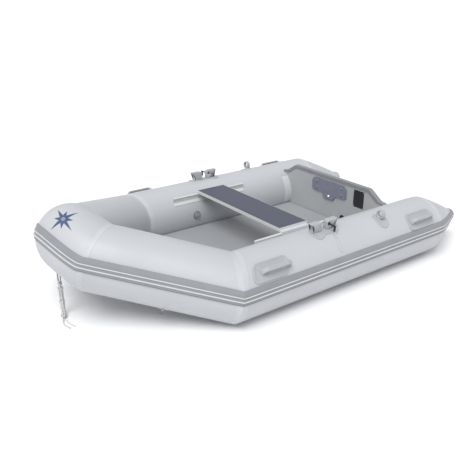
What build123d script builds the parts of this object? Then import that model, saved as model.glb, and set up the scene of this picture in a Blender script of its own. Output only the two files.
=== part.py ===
from build123d import *
import math
import os

os.makedirs("parts", exist_ok=True)

# Inflatable dinghy. +X forward, +Y port, +Z up, millimetres.
# Stations along X are counted from the seat's after edge; the origin is the
# middle of the boat's length, on the ground under it.

# ---- hull tube -------------------------------------------------------------
TUBE_R = 200.0            # outer radius of the buoyancy tube
TUBE_WALL = 1.5           # coated fabric
TUBE_Y = 630.0            # centre line of each side tube from the keel line
CONE_STATION = -940.0     # where the side tube ends and the stern cone starts
BEND_STATION = 717.0      # where the side tube turns in towards the bow
BOW_BEND = (1308.0, 178.0, TUBE_R + 183.0)   # station, half breadth and height of the axis
BOW_TIP = (1376.0, 0.0, TUBE_R + 250.0)      # the same for the centre seam of the nose
CONE_LENGTH = 382.0
CONE_END_R = 44.0
CONE_END_Y = TUBE_Y - 32.0
CONE_END_Z = TUBE_R - 24.0
MIDSHIP = 112.53          # station of the origin
SEAM_ALLOWANCE = 450.0    # extra length that each panel is cut from
BULKHEAD_STATION = 457.0  # fabric wall that parts each side's chamber from the bow's

# ---- rubbing strake --------------------------------------------------------
STRAKE_SPAN = 24.0        # degrees of the tube's round that the strake covers
STRAKE_MIDDLE = [11.5, 11.5, 16.0, 16.0]   # degrees above level at each seam, stern to tip
STRAKE_BASE = 7.0         # thickness of the flat of the extrusion
STRAKE_RIB = 12.0         # thickness at its two ribs
STRAKE_EDGE = 3.0         # thickness at its thin edges
STRAKE_CONE_END_HALF = 40.0   # half height of the band where it wraps the cone's tip
STRAKE_CONE_END_Z = CONE_END_Z + 2.0
STRAKE_OVERRUN = 360.0        # extra length that each strip is cut from
STRAKE_WRAP = 30.0        # how far the band wraps inboard of the cone's tip

# ---- bottom ----------------------------------------------------------------
SKIN = 1.5                # bottom fabric
SKIN_EDGE_Z = 42.0        # height where the bottom fabric meets the tubes
SKIN_KEEL_Z = 8.0         # its lowest height, under the keel
KEEL_R = 27.0
SKIN_SHORT = 30.0         # how far abaft the bow's bend the bow sheet ends
SKIN_LAP = 12.0           # how far the sheets run on past the line where they meet the tubes
KEEL_CLEAR = 0.2
FLOOR_LOW = 70.0
FLOOR_TOP = 125.0
FLOOR_CLEAR = 1.0         # between the floor's front edge and the rising bow sheet

# ---- transom ---------------------------------------------------------------
TRANSOM_STATION = -657.0  # its front face
TRANSOM_T = 28.0
TRANSOM_TOP = 2 * TUBE_R + 46.0
TRANSOM_TOP_HALF = TUBE_Y - 245.0
SHOULDER = (TUBE_Y - 146.0, 2 * TUBE_R - 20.0)   # half breadth and height where the shoulder ends
WING = (TUBE_Y - 100.0, 2 * TUBE_R - 26.0)       # where the board runs out over the tube
TRIM_T = 4.0
TRIM_DEPTH = 20.0
TRIM_END_DROP = 6.0       # the trim stops this far below the wing's corner
PAD_T = 8.0
PAD_HALF = 180.0
PAD_TOP = TRANSOM_TOP - 32.0
PAD_LOW = PAD_TOP - 106.0
PAD_TAB_HALF = 74.0
PAD_TAB_LOW = PAD_LOW - 40.0
PAD_CHAMFER = 26.0
OUTER_PAD_LOW = PAD_LOW - 78.0
FLAP_T = 2.5              # fabric flaps that glue the board to the tubes
FLAP_WIDTH = 75.0
FLAP_FALL = 140.0         # how far down and up the flap's arc opens, at a tube's width inboard
FLAP_RISE = 380.0
PLATE_SIZE = (98.0, 128.0, 1.2)
PLATE_CORNER = 4.0
PLATE_Y = TRANSOM_TOP_HALF - 87.0
PLATE_Z = TRANSOM_TOP - 96.0
DRAIN_Y = 150.0
DRAIN_Z = FLOOR_TOP + 35.0
DRAIN_BORE_R = 12.5
PLUG_FIT = 0.05

# ---- seat ------------------------------------------------------------------
SEAT_WIDTH = 233.0
SEAT_T = 22.0
RAIL_Y = TUBE_Y - 155.0
RAIL_SKIN_Z = TUBE_R + math.sqrt(TUBE_R**2 - (TUBE_Y - RAIL_Y) ** 2)   # the tube under the rail
RAIL_STATIONS = (-192.0, 434.0)
BEAD_R = 7.0
BEAD_Z = RAIL_SKIN_Z + 31.6
RAIL_WEB = 5.0
RAIL_BASE = 3.0
RAIL_WEB_REACH = 58.0     # from the bead down to past the tube's skin
RAIL_FOOT_ANGLE = 13.8    # degrees of the tube's round that the glued foot covers
CHANNEL_GAP = 0.4
CHANNEL_HALF = 14.0
CHANNEL_LOW = BEAD_Z - 8.0
CHANNEL_TOP = BEAD_Z + 16.0
SEAT_LOW = CHANNEL_TOP - 5.0          # the board lies on the flanges, beside the channels' heads
SEAT_TOP = SEAT_LOW + SEAT_T
SEAT_HALF = RAIL_Y - CHANNEL_HALF
FLANGE_T = 5.0

# ---- fittings --------------------------------------------------------------
HANDLE_STATIONS = {"fore": 530.0, "aft": -735.0}
HANDLE_ANGLE = 40.5
HANDLE_SIZE = (240.0, 112.0)
HANDLE_PAD = 8.0
HANDLE_GAP = 26.0
GRIP_W = 26.0
GRIP_T = 13.0
GRIP_LENGTH = 176.0
GRIP_FOOT = 24.0
GRIP_FLARE = 12.0
GRIP_SHOULDER = 16.0
HANDLE_CORNER = 30.0
PAD_CUT = 40.0            # half the depth that each glued pad's outline is cut through
BEDDING = 3.0             # how far a moulding's stem runs down into its pad

ROWLOCK_STATION = 52.0
ROWLOCK_ANGLE = 84.0
ROWLOCK_PAD = 6.0
OAR_GAP = 44.0
HORN_BASE = 66.0
HORN_TOP = 88.0
HORN_HEIGHT = 62.0
HORN_W = 36.0
HORN_WAIST = (19.0, 38.0) # heights between which the horn is narrowest
HORN_SHOULDER = (14.0, 8.0)   # length and fall of the slope over the gap
HORN_NECK = 4.0
HORN_FOOT = 6.0
PIN_IN_HORN = 12.0        # from the gap's face to the pin
ROWLOCK_LOBES = (62.0, 8.0, 50.0, 56.0)    # the pad's lobes: along, across, and their two radii
ROWLOCK_MIDDLE = (130.0, 84.0)
ROWLOCK_PIN_R = 5.0
ROWLOCK_PIN_H = 44.0
ROWLOCK_PIN_FIT = 0.08
COLLAR_CLEAR = 0.5

CLIP_STATION = -412.0
CLIP_ANGLE = 69.0
CLIP_PAD_ANGLE = 60.0
CLIP_BORE = 21.0
CLIP_WALL = 8.0
CLIP_W = 26.0
CLIP_PAD = 6.0
CLIP_PAD_R = 50.0         # the teardrop's round end and its tip
CLIP_PAD_IN = 14.0
CLIP_TIP_R = 26.0
CLIP_PAD_TIP = (22.0, 42.0)
CLIP_STEM = 14.0

VALVE_STATION = 263.0
VALVE_ANGLE = 176.0
VALVE_FLANGE_R = 29.0
VALVE_BARREL_R = 21.0
VALVE_BORE_R = 17.0
VALVE_DEPTH = 36.0
VALVE_STEM_R = 4.0
VALVE_CAP_R = 24.0
VALVE_FIT = 0.3
BARREL_FIT = 0.1

RING_WIRE = 3.5           # radius of the tow ring's wire
RING_FIT = 0.08
DRING_WIRE = 2.5
DRING_ALONG = 352.0       # distance along the bow quarter from the main bend
DRING_ANGLE = -50.0
PAINTER_R = 4.0
LANYARD_R = 1.5


def station(x):
    return x - MIDSHIP


def save(builder, label):
    builder.part.label = label
    export_step(builder.part, f"parts/{label}.step")


def save_pair(builder, label):
    """Write the port piece and its mirror image on the starboard side."""
    save(builder, f"{label}_port")
    with BuildPart() as other:
        mirror(builder.part, about=Plane.XZ)
    save(other, f"{label}_starboard")


# ---- the tube's centre line on the port side --------------------------------
AXIS = [
    Vector(station(CONE_STATION), TUBE_Y, TUBE_R),
    Vector(station(BEND_STATION), TUBE_Y, TUBE_R),
    Vector(station(BOW_BEND[0]), BOW_BEND[1], BOW_BEND[2]),
    Vector(station(BOW_TIP[0]), BOW_TIP[1], BOW_TIP[2]),
]
RUNS = [(b - a).normalized() for a, b in zip(AXIS, AXIS[1:])]
SEAMS = [
    Plane(AXIS[0], z_dir=RUNS[0]),
    Plane(AXIS[1], z_dir=RUNS[0] + RUNS[1]),
    Plane(AXIS[2], z_dir=RUNS[1] + RUNS[2]),
    Plane(AXIS[3], x_dir=(1, 0, 0), z_dir=(0, -1, 0)),
]


def level_frame(run):
    """Outboard and up directions of a run whose outboard direction is level."""
    outboard = Vector(-run.Y, run.X, 0).normalized()
    return outboard, run.cross(outboard)


def panel_plane(index, along=0.0):
    """Plane across panel `index`: X outboard, Y up, Z forward along the tube."""
    run = RUNS[index]
    outboard, _ = level_frame(run)
    return Plane(AXIS[index] + run * along, x_dir=outboard, z_dir=run)


def panel_length(index):
    return (AXIS[index + 1] - AXIS[index]).length


def radial_plane(index, along, angle, radius):
    """Plane lying on the tube: X along the tube, Z outwards at `angle` above level."""
    frame = panel_plane(index, along)
    turn = math.radians(angle)
    normal = frame.x_dir * math.cos(turn) + frame.y_dir * math.sin(turn)
    return Plane(frame.origin + normal * radius, x_dir=RUNS[index], z_dir=normal)


def tube_envelope(index, radius=TUBE_R):
    """Full round of panel `index`, cut to its seams, used to trim what lies on it."""
    with BuildPart(mode=Mode.PRIVATE) as envelope:
        back = 0.0 if index == 0 else SEAM_ALLOWANCE
        with BuildSketch(panel_plane(index, -back)):
            Circle(radius)
        extrude(amount=panel_length(index) + back + SEAM_ALLOWANCE)
        split(bisect_by=SEAMS[index], keep=Keep.TOP)
        split(bisect_by=SEAMS[index + 1], keep=Keep.BOTTOM)
    return envelope.part


def both_sides(part):
    return [part, mirror(part, about=Plane.XZ)]


ENVELOPES = [tube_envelope(i) for i in range(3)]
HULL_ENVELOPE = [side for part in ENVELOPES for side in both_sides(part)]


def tube_panel(index):
    with BuildPart() as panel:
        add(ENVELOPES[index])
        add(tube_envelope(index, TUBE_R - TUBE_WALL), mode=Mode.SUBTRACT)
    return panel


def valve_plane(depth=0.0):
    along = VALVE_STATION - CONE_STATION
    return radial_plane(0, along, VALVE_ANGLE, TUBE_R + depth)


# ---- tube panels -------------------------------------------------------------
with BuildPart() as side_tube:
    add(tube_panel(0).part)
    with BuildSketch(valve_plane(-VALVE_DEPTH)):
        Circle(VALVE_BARREL_R)
    extrude(amount=2 * VALVE_DEPTH, mode=Mode.SUBTRACT)
save_pair(side_tube, "side_tube")

bow_quarter = tube_panel(1)
save_pair(bow_quarter, "bow_quarter")

with BuildPart() as bow_nose:
    half = tube_panel(2).part
    add(half)
    mirror(half, about=Plane.XZ)
save(bow_nose, "bow_nose")


def cone_envelope(extra=0.0):
    """Oblique stern cone and its round tip, grown by `extra`."""
    end = Vector(AXIS[0].X - CONE_LENGTH, CONE_END_Y, CONE_END_Z)
    with BuildPart(mode=Mode.PRIVATE) as cone:
        with BuildSketch(Plane(AXIS[0], x_dir=(0, 1, 0), z_dir=(-1, 0, 0))):
            Circle(TUBE_R + extra)
        with BuildSketch(Plane(end, x_dir=(0, 1, 0), z_dir=(-1, 0, 0))):
            Circle(CONE_END_R + extra)
        loft(ruled=True)
        with Locations(end):
            Sphere(CONE_END_R + extra)
    return cone.part


with BuildPart() as stern_cone:
    add(cone_envelope())
    add(cone_envelope(-TUBE_WALL), mode=Mode.SUBTRACT)
save_pair(stern_cone, "stern_cone")

# Bulkheads inside the tube keep one leak from emptying the whole hull.
with BuildPart() as tube_bulkheads:
    with BuildSketch(panel_plane(0, BULKHEAD_STATION - CONE_STATION)):
        Circle(TUBE_R - TUBE_WALL)
    extrude(amount=TUBE_WALL)
    mirror(tube_bulkheads.part, about=Plane.XZ)
save(tube_bulkheads, "tube_bulkheads")

# ---- rubbing strake ------------------------------------------------------------
STRAKE_PROFILE = [
    (0.00, STRAKE_EDGE), (0.05, STRAKE_BASE), (0.17, STRAKE_BASE), (0.22, STRAKE_RIB),
    (0.30, STRAKE_RIB), (0.35, STRAKE_BASE), (0.44, STRAKE_BASE), (0.49, STRAKE_RIB),
    (0.57, STRAKE_RIB), (0.62, STRAKE_BASE), (0.96, STRAKE_BASE), (1.00, STRAKE_EDGE),
]


def strake_outline(middle):
    """The extrusion's section, its middle `middle` degrees above level."""
    points = [(share, TUBE_R + rise) for share, rise in STRAKE_PROFILE]
    points += [(share, TUBE_R - STRAKE_EDGE) for share in (1.0, 0.5, 0.0)]
    turned = []
    for share, radius in points:
        angle = math.radians(middle + STRAKE_SPAN * (share - 0.5))
        turned.append((radius * math.cos(angle), radius * math.sin(angle)))
    return turned


def frame_drift(index):
    """Degrees between the level frames of panels `index` and `index` + 1 at their seam."""
    axis = RUNS[index].cross(RUNS[index + 1])
    bend = RUNS[index].get_angle(RUNS[index + 1])
    before, _ = level_frame(RUNS[index])
    carried = before.rotate(Axis((0, 0, 0), axis), bend)
    level, up = level_frame(RUNS[index + 1])
    return math.degrees(math.atan2(carried.dot(up), carried.dot(level)))


def tube_envelope_long(index):
    """Round of panel `index` running past both of its seams."""
    with BuildPart(mode=Mode.PRIVATE) as envelope:
        with BuildSketch(panel_plane(index, -SEAM_ALLOWANCE)):
            Circle(TUBE_R)
        extrude(amount=panel_length(index) + 2 * SEAM_ALLOWANCE)
    return envelope.part


def strake_panel(index):
    """One length of strake; its twist shares out the drift at the seams."""
    start = STRAKE_MIDDLE[index] + (0.0 if index == 0 else frame_drift(index - 1) / 2)
    end = STRAKE_MIDDLE[index + 1] - (0.0 if index == 2 else frame_drift(index) / 2)
    length = panel_length(index)
    slope = (end - start) / length
    reach = STRAKE_OVERRUN
    back = 0.0 if index == 0 else reach
    with BuildPart() as strake:
        with BuildSketch(panel_plane(index, -back)):
            Polygon(*strake_outline(start - slope * back), align=None)
        with BuildSketch(panel_plane(index, length + reach)):
            Polygon(*strake_outline(end + slope * reach), align=None)
        loft(ruled=True)
        add(tube_envelope_long(index), mode=Mode.SUBTRACT)
        split(bisect_by=SEAMS[index], keep=Keep.TOP)
        split(bisect_by=SEAMS[index + 1], keep=Keep.BOTTOM)
    return strake


strake_side = strake_panel(0)
save_pair(strake_side, "strake_side")
strake_quarter = strake_panel(1)
save_pair(strake_quarter, "strake_quarter")
with BuildPart() as strake_nose:
    half = strake_panel(2).part
    add(half)
    mirror(half, about=Plane.XZ)
save(strake_nose, "strake_nose")

with BuildPart() as strake_cone:
    add(cone_envelope(STRAKE_BASE))
    add(cone_envelope(), mode=Mode.SUBTRACT)
    low = TUBE_R * (1 + math.sin(math.radians(STRAKE_MIDDLE[0] - STRAKE_SPAN / 2)))
    high = TUBE_R * (1 + math.sin(math.radians(STRAKE_MIDDLE[0] + STRAKE_SPAN / 2)))
    cone_x = AXIS[0].X
    end_x = cone_x - CONE_LENGTH
    with BuildSketch(Plane.XZ.offset(-TUBE_Y - 2 * TUBE_R)):
        Polygon(
            (cone_x, low), (cone_x, high),
            (end_x, STRAKE_CONE_END_Z + STRAKE_CONE_END_HALF),
            (end_x - 2 * CONE_END_R, STRAKE_CONE_END_Z + STRAKE_CONE_END_HALF),
            (end_x - 2 * CONE_END_R, STRAKE_CONE_END_Z - STRAKE_CONE_END_HALF),
            (end_x, STRAKE_CONE_END_Z - STRAKE_CONE_END_HALF),
            align=None,
        )
    extrude(amount=4 * TUBE_R, mode=Mode.INTERSECT)
    with BuildSketch(Plane.XY):
        Polygon(
            (cone_x, TUBE_Y), (cone_x, TUBE_Y + 2 * TUBE_R),
            (end_x - 2 * CONE_END_R, TUBE_Y + 2 * TUBE_R),
            (end_x - 2 * CONE_END_R, CONE_END_Y - STRAKE_WRAP), (end_x, CONE_END_Y - STRAKE_WRAP),
            align=None,
        )
    extrude(amount=3 * TUBE_R, mode=Mode.INTERSECT)
save_pair(strake_cone, "strake_cone")

# ---- bottom --------------------------------------------------------------------
BEND_X = station(BEND_STATION)
TRANSOM_X = station(TRANSOM_STATION)
RISE = (BOW_BEND[2] - TUBE_R) / (BOW_BEND[0] - BEND_STATION)
TUCK = math.sqrt(TUBE_R**2 - (TUBE_R - SKIN_EDGE_Z) ** 2)
SKIN_HALF = TUBE_Y - TUCK


def skin_section(half, lift, depth):
    """A shallow V of sheet, `half` wide each side of the keel and `depth` deep."""
    edge = SKIN_EDGE_Z + lift
    keel = edge - depth
    return [
        (-half, edge), (0, keel), (half, edge),
        (half, edge + SKIN), (0, keel + SKIN), (-half, edge + SKIN),
    ]


with BuildPart() as bottom_skin:
    with BuildSketch(Plane.YZ.offset(TRANSOM_X - TRANSOM_T)):
        Polygon(*skin_section(SKIN_HALF + SKIN_LAP, 0, SKIN_EDGE_Z - SKIN_KEEL_Z), align=None)
    extrude(amount=BEND_X - TRANSOM_X + TRANSOM_T)
    for solid in HULL_ENVELOPE:
        add(solid, mode=Mode.SUBTRACT)
save(bottom_skin, "bottom_skin")

NOSE_X = station(BOW_BEND[0]) - SKIN_SHORT
NOSE_DEPTH = 6.0          # the V is nearly flat where it ends under the nose
NOSE_LIFT = RISE * (NOSE_X - BEND_X)
QUARTER_TAPER = (TUBE_Y - BOW_BEND[1]) / (BOW_BEND[0] - BEND_STATION)
with BuildPart() as bow_skin:
    with BuildSketch(Plane.YZ.offset(BEND_X)):
        Polygon(*skin_section(SKIN_HALF + SKIN_LAP, 0, SKIN_EDGE_Z - SKIN_KEEL_Z), align=None)
    with BuildSketch(Plane.YZ.offset(NOSE_X)):
        nose_half = SKIN_HALF - QUARTER_TAPER * (NOSE_X - BEND_X) + SKIN_LAP
        Polygon(*skin_section(nose_half, NOSE_LIFT, NOSE_DEPTH), align=None)
    loft(ruled=True)
    for solid in HULL_ENVELOPE:
        add(solid, mode=Mode.SUBTRACT)
save(bow_skin, "bow_skin")

with BuildPart() as keel_tube:
    lean = math.atan2(SKIN_EDGE_Z - SKIN_KEEL_Z, SKIN_HALF)
    with BuildSketch(Plane.YZ.offset(TRANSOM_X)):
        with Locations((0, SKIN_KEEL_Z + SKIN + KEEL_R / math.cos(lean) + KEEL_CLEAR)):
            Circle(KEEL_R)
    extrude(amount=BEND_X - TRANSOM_X)
    offset(amount=-TUBE_WALL, mode=Mode.SUBTRACT)
save(keel_tube, "keel_tube")

FLOOR_REACH = (FLOOR_LOW - SKIN_EDGE_Z - SKIN - FLOOR_CLEAR) / RISE


def floor_block(inset):
    """The floor between the tubes, or the air inside its skins when `inset` is their thickness."""
    front = BEND_X + FLOOR_REACH
    front_half = SKIN_HALF - QUARTER_TAPER * FLOOR_REACH
    with BuildPart(mode=Mode.PRIVATE) as block:
        with BuildSketch(Plane.XY.offset(FLOOR_LOW + inset)):
            Polygon(
                (TRANSOM_X + inset, -SKIN_HALF), (BEND_X, -SKIN_HALF), (front - inset, -front_half),
                (front - inset, front_half), (BEND_X, SKIN_HALF), (TRANSOM_X + inset, SKIN_HALF),
                align=None,
            )
        extrude(amount=FLOOR_TOP - FLOOR_LOW - 2 * inset)
        for index in (0, 1):
            for solid in both_sides(tube_envelope(index, TUBE_R + inset)):
                add(solid, mode=Mode.SUBTRACT)
    return block.part


with BuildPart() as air_floor:
    add(floor_block(0.0))
    add(floor_block(SKIN), mode=Mode.SUBTRACT)
save(air_floor, "air_floor")

# ---- transom ---------------------------------------------------------------------
BOARD_OUTLINE = [
    (0, SKIN_KEEL_Z + SKIN), (SKIN_HALF + SKIN_LAP, SKIN_EDGE_Z + SKIN), (WING[0] + SKIN_LAP, TUBE_R),
    WING, SHOULDER, (TRANSOM_TOP_HALF, TRANSOM_TOP),
]
BOARD_OUTLINE += [(-y, z) for y, z in reversed(BOARD_OUTLINE[1:])]
BOARD_BACK = Plane.YZ.offset(TRANSOM_X - TRANSOM_T)
BOARD_FRONT = Plane.YZ.offset(TRANSOM_X)
PAD_BOLTS = [(y, PAD_TOP - depth) for depth in (29, 79) for y in (130, -130)]
TAB_BOLT = (0, PAD_TAB_LOW + 22)
BOLT_R = 4.0
BOLT_HOLE_R = 4.2
PAD_HEAD_R = 10.0
TAB_HEAD_R = 14.0
HEAD_TAPER = 35.0
WASHER_T = 3.0
DRAIN_BARREL_R = 15.0
DRAIN_FLANGE_R = 24.0
DRAIN_FLANGE_T = 3.0

with BuildPart() as transom_board:
    with BuildSketch(BOARD_BACK):
        Polygon(*BOARD_OUTLINE, align=None)
    extrude(amount=TRANSOM_T)
    for solid in HULL_ENVELOPE:
        add(solid, mode=Mode.SUBTRACT)
    with BuildSketch(BOARD_BACK):
        with Locations(*PAD_BOLTS, TAB_BOLT):
            Circle(BOLT_HOLE_R)
        with Locations((DRAIN_Y, DRAIN_Z)):
            Circle(DRAIN_BARREL_R)
    extrude(amount=TRANSOM_T, mode=Mode.SUBTRACT)
save(transom_board, "transom_board")

with BuildPart() as transom_trim:
    with BuildSketch(BOARD_BACK.offset(-TRIM_T)):
        with BuildLine():
            Polyline(*BOARD_OUTLINE, close=True)
        make_face()
        offset(amount=TRIM_T, kind=Kind.INTERSECTION)
        with BuildSketch(mode=Mode.PRIVATE) as inner:
            Polygon(*BOARD_OUTLINE, align=None)
            offset(amount=-TRIM_DEPTH, kind=Kind.INTERSECTION)
        add(inner.sketch, mode=Mode.SUBTRACT)
        with Locations((0, WING[1] - TRIM_END_DROP)):
            Rectangle(
                2 * (WING[0] - 1), 2 * TUBE_R, align=(Align.CENTER, Align.MIN), mode=Mode.INTERSECT,
            )
    extrude(amount=TRANSOM_T + 2 * TRIM_T)
    add(transom_board.part, mode=Mode.SUBTRACT)
    for solid in HULL_ENVELOPE:
        add(solid, mode=Mode.SUBTRACT)
save(transom_trim, "transom_trim")

with BuildPart() as motor_pad_inner:
    with BuildSketch(BOARD_FRONT):
        Polygon(
            (-PAD_HALF + PAD_CHAMFER, PAD_TOP), (PAD_HALF - PAD_CHAMFER, PAD_TOP),
            (PAD_HALF, PAD_TOP - PAD_CHAMFER), (PAD_HALF, PAD_LOW + PAD_CHAMFER / 2),
            (PAD_HALF - PAD_CHAMFER, PAD_LOW), (PAD_TAB_HALF, PAD_LOW),
            (PAD_TAB_HALF - PAD_CHAMFER, PAD_TAB_LOW), (PAD_CHAMFER - PAD_TAB_HALF, PAD_TAB_LOW),
            (-PAD_TAB_HALF, PAD_LOW), (PAD_CHAMFER - PAD_HALF, PAD_LOW),
            (-PAD_HALF, PAD_LOW + PAD_CHAMFER / 2), (-PAD_HALF, PAD_TOP - PAD_CHAMFER),
            align=None,
        )
        with Locations(*PAD_BOLTS, TAB_BOLT):
            Circle(BOLT_HOLE_R, mode=Mode.SUBTRACT)
    extrude(amount=PAD_T)
save(motor_pad_inner, "motor_pad_inner")

with BuildPart() as motor_pad_outer:
    with BuildSketch(BOARD_BACK.offset(-PAD_T)):
        with Locations((0, (PAD_TOP + OUTER_PAD_LOW) / 2)):
            RectangleRounded(2 * PAD_HALF, PAD_TOP - OUTER_PAD_LOW, PAD_CHAMFER)
        with Locations(*PAD_BOLTS, TAB_BOLT):
            Circle(BOLT_HOLE_R, mode=Mode.SUBTRACT)
    extrude(amount=PAD_T)
save(motor_pad_outer, "motor_pad_outer")

with BuildPart() as motor_pad_bolts:
    stack = TRANSOM_T + 2 * PAD_T
    for spot, head in [(spot, PAD_HEAD_R) for spot in PAD_BOLTS] + [(TAB_BOLT, TAB_HEAD_R)]:
        with BuildSketch(BOARD_BACK.offset(-PAD_T)):
            with Locations(spot):
                Circle(BOLT_R)
        extrude(amount=stack)
        with BuildSketch(BOARD_FRONT.offset(PAD_T)):
            with Locations(spot):
                Circle(head)
        extrude(amount=head / 2, taper=HEAD_TAPER)
        with BuildSketch(BOARD_BACK.offset(-PAD_T)):
            with Locations(spot):
                Circle(head)
        extrude(amount=-WASHER_T)
save(motor_pad_bolts, "motor_pad_bolts")

with BuildPart() as capacity_plate:
    with BuildSketch(BOARD_FRONT):
        with Locations((PLATE_Y, PLATE_Z)):
            RectangleRounded(PLATE_SIZE[0], PLATE_SIZE[1], PLATE_CORNER)
    extrude(amount=PLATE_SIZE[2])
save(capacity_plate, "capacity_plate")

with BuildPart() as transom_flaps:
    with BuildSketch(Plane(AXIS[0], x_dir=(0, 1, 0), z_dir=(1, 0, 0)).offset(TRANSOM_X - AXIS[0].X)):
        Circle(TUBE_R + FLAP_T)
        Circle(TUBE_R, mode=Mode.SUBTRACT)
        Polygon(
            (0, 0), (-2 * TUBE_R, -FLAP_FALL), (-2 * TUBE_R, FLAP_RISE),
            align=None, mode=Mode.INTERSECT,
        )
    extrude(amount=FLAP_WIDTH)
    mirror(transom_flaps.part, about=Plane.XZ)
save(transom_flaps, "transom_flaps")

with BuildPart() as drain_flange:
    with BuildSketch(BOARD_FRONT):
        with Locations((DRAIN_Y, DRAIN_Z)):
            Circle(DRAIN_FLANGE_R)
            Circle(DRAIN_BORE_R, mode=Mode.SUBTRACT)
    extrude(amount=DRAIN_FLANGE_T)
    with BuildSketch(BOARD_BACK):
        with Locations((DRAIN_Y, DRAIN_Z)):
            Circle(DRAIN_BARREL_R)
            Circle(DRAIN_BORE_R, mode=Mode.SUBTRACT)
    extrude(amount=TRANSOM_T)
save(drain_flange, "drain_flange")

PLUG_REACH = 24.0
PLUG_HEAD_T = 5.0
PLUG_TAB = (6.0, 22.0, 14.0)
with BuildPart() as drain_plug:
    with BuildSketch(BOARD_FRONT.offset(DRAIN_FLANGE_T - PLUG_REACH)):
        with Locations((DRAIN_Y, DRAIN_Z)):
            Circle(DRAIN_BORE_R - PLUG_FIT)
    extrude(amount=PLUG_REACH)
    with BuildSketch(BOARD_FRONT.offset(DRAIN_FLANGE_T)):
        with Locations((DRAIN_Y, DRAIN_Z)):
            Circle(DRAIN_BORE_R + PLUG_HEAD_T)
    extrude(amount=PLUG_HEAD_T)
    with BuildSketch(BOARD_FRONT.offset(DRAIN_FLANGE_T + PLUG_HEAD_T)):
        with Locations((DRAIN_Y, DRAIN_Z)):
            Rectangle(PLUG_TAB[0], PLUG_TAB[1])
    extrude(amount=PLUG_TAB[2])
save(drain_plug, "drain_plug")

# ---- seat and its rails --------------------------------------------------------
SEAT_X = station(0)
SCREW_R = 2.5
SCREW_Y = RAIL_Y - 45.0
SCREW_INSET = 45.0        # from the seat's long edges
SCREW_BITE = 15.0
SCREW_HEAD = (5.0, 3.0)   # radius and thickness
SCREW_XS = (SEAT_X + SCREW_INSET, SEAT_X + SEAT_WIDTH - SCREW_INSET)
EDGING_T = 3.0
CHANNEL_INSET = 6.0
FLANGE_LAP = 20.0         # flange past the screws

with BuildPart() as seat_board:
    with BuildSketch(Plane.XY.offset(SEAT_LOW)):
        with Locations((SEAT_X + SEAT_WIDTH / 2, 0)):
            Rectangle(SEAT_WIDTH - 2 * EDGING_T, 2 * SEAT_HALF)
    extrude(amount=SEAT_T)
    with Locations(*[Location((x, y, SEAT_LOW)) for x in SCREW_XS for y in (SCREW_Y, -SCREW_Y)]):
        Cylinder(
            SCREW_R, SCREW_BITE + 1, align=(Align.CENTER, Align.CENTER, Align.MIN), mode=Mode.SUBTRACT,
        )
save(seat_board, "seat_board")

with BuildPart() as seat_edging:
    with BuildSketch(Plane.XY.offset(SEAT_LOW)):
        with Locations((SEAT_X + EDGING_T / 2, 0), (SEAT_X + SEAT_WIDTH - EDGING_T / 2, 0)):
            Rectangle(EDGING_T, 2 * SEAT_HALF)
    extrude(amount=SEAT_T)
save(seat_edging, "seat_edging")

with BuildPart() as seat_channels:
    with BuildSketch(Plane.YZ.offset(SEAT_X + CHANNEL_INSET)):
        with Locations((RAIL_Y, (CHANNEL_LOW + CHANNEL_TOP) / 2)):
            Rectangle(2 * CHANNEL_HALF, CHANNEL_TOP - CHANNEL_LOW)
        with Locations((SCREW_Y - FLANGE_LAP, SEAT_LOW - FLANGE_T)):
            Rectangle(RAIL_Y - SCREW_Y + FLANGE_LAP, FLANGE_T, align=(Align.MIN, Align.MIN))
        with Locations((RAIL_Y, BEAD_Z)):
            Circle(BEAD_R + CHANNEL_GAP, mode=Mode.SUBTRACT)
            Rectangle(
                RAIL_WEB + 2 * CHANNEL_GAP, 4 * BEAD_R,
                align=(Align.CENTER, Align.MAX), mode=Mode.SUBTRACT,
            )
    extrude(amount=SEAT_WIDTH - 2 * CHANNEL_INSET)
    with Locations(*[Location((x, SCREW_Y, SEAT_LOW)) for x in SCREW_XS]):
        Cylinder(SCREW_R, 4 * FLANGE_T, mode=Mode.SUBTRACT)
    mirror(seat_channels.part, about=Plane.XZ)
save(seat_channels, "seat_channels")

with BuildPart() as seat_screws:
    with Locations(*[
        Location((x, y, SEAT_LOW - FLANGE_T)) for x in SCREW_XS for y in (SCREW_Y, -SCREW_Y)
    ]):
        Cylinder(SCREW_R, FLANGE_T + SCREW_BITE, align=(Align.CENTER, Align.CENTER, Align.MIN))
        Cylinder(SCREW_HEAD[0], SCREW_HEAD[1], align=(Align.CENTER, Align.CENTER, Align.MAX))
save(seat_screws, "seat_screws")

with BuildPart() as seat_rail:
    rail_lean = math.degrees(math.acos((TUBE_Y - RAIL_Y) / TUBE_R))
    with BuildSketch(Plane.YZ.offset(station(RAIL_STATIONS[0]))):
        with Locations((TUBE_Y, TUBE_R)):
            Circle(TUBE_R + RAIL_BASE)
        with BuildSketch(mode=Mode.PRIVATE) as wedge:
            half = math.radians(RAIL_FOOT_ANGLE / 2)
            turn = math.radians(180 - rail_lean)
            reach = 1.5 * TUBE_R
            Polygon(
                (TUBE_Y, TUBE_R),
                (TUBE_Y + reach * math.cos(turn - half), TUBE_R + reach * math.sin(turn - half)),
                (TUBE_Y + reach * math.cos(turn + half), TUBE_R + reach * math.sin(turn + half)),
                align=None,
            )
        add(wedge.sketch, mode=Mode.INTERSECT)
        with Locations((RAIL_Y, BEAD_Z)):
            Circle(BEAD_R)
            Rectangle(RAIL_WEB, RAIL_WEB_REACH, align=(Align.CENTER, Align.MAX))
        with Locations((TUBE_Y, TUBE_R)):
            Circle(TUBE_R, mode=Mode.SUBTRACT)
    extrude(amount=RAIL_STATIONS[1] - RAIL_STATIONS[0])
save_pair(seat_rail, "seat_rail")


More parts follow.
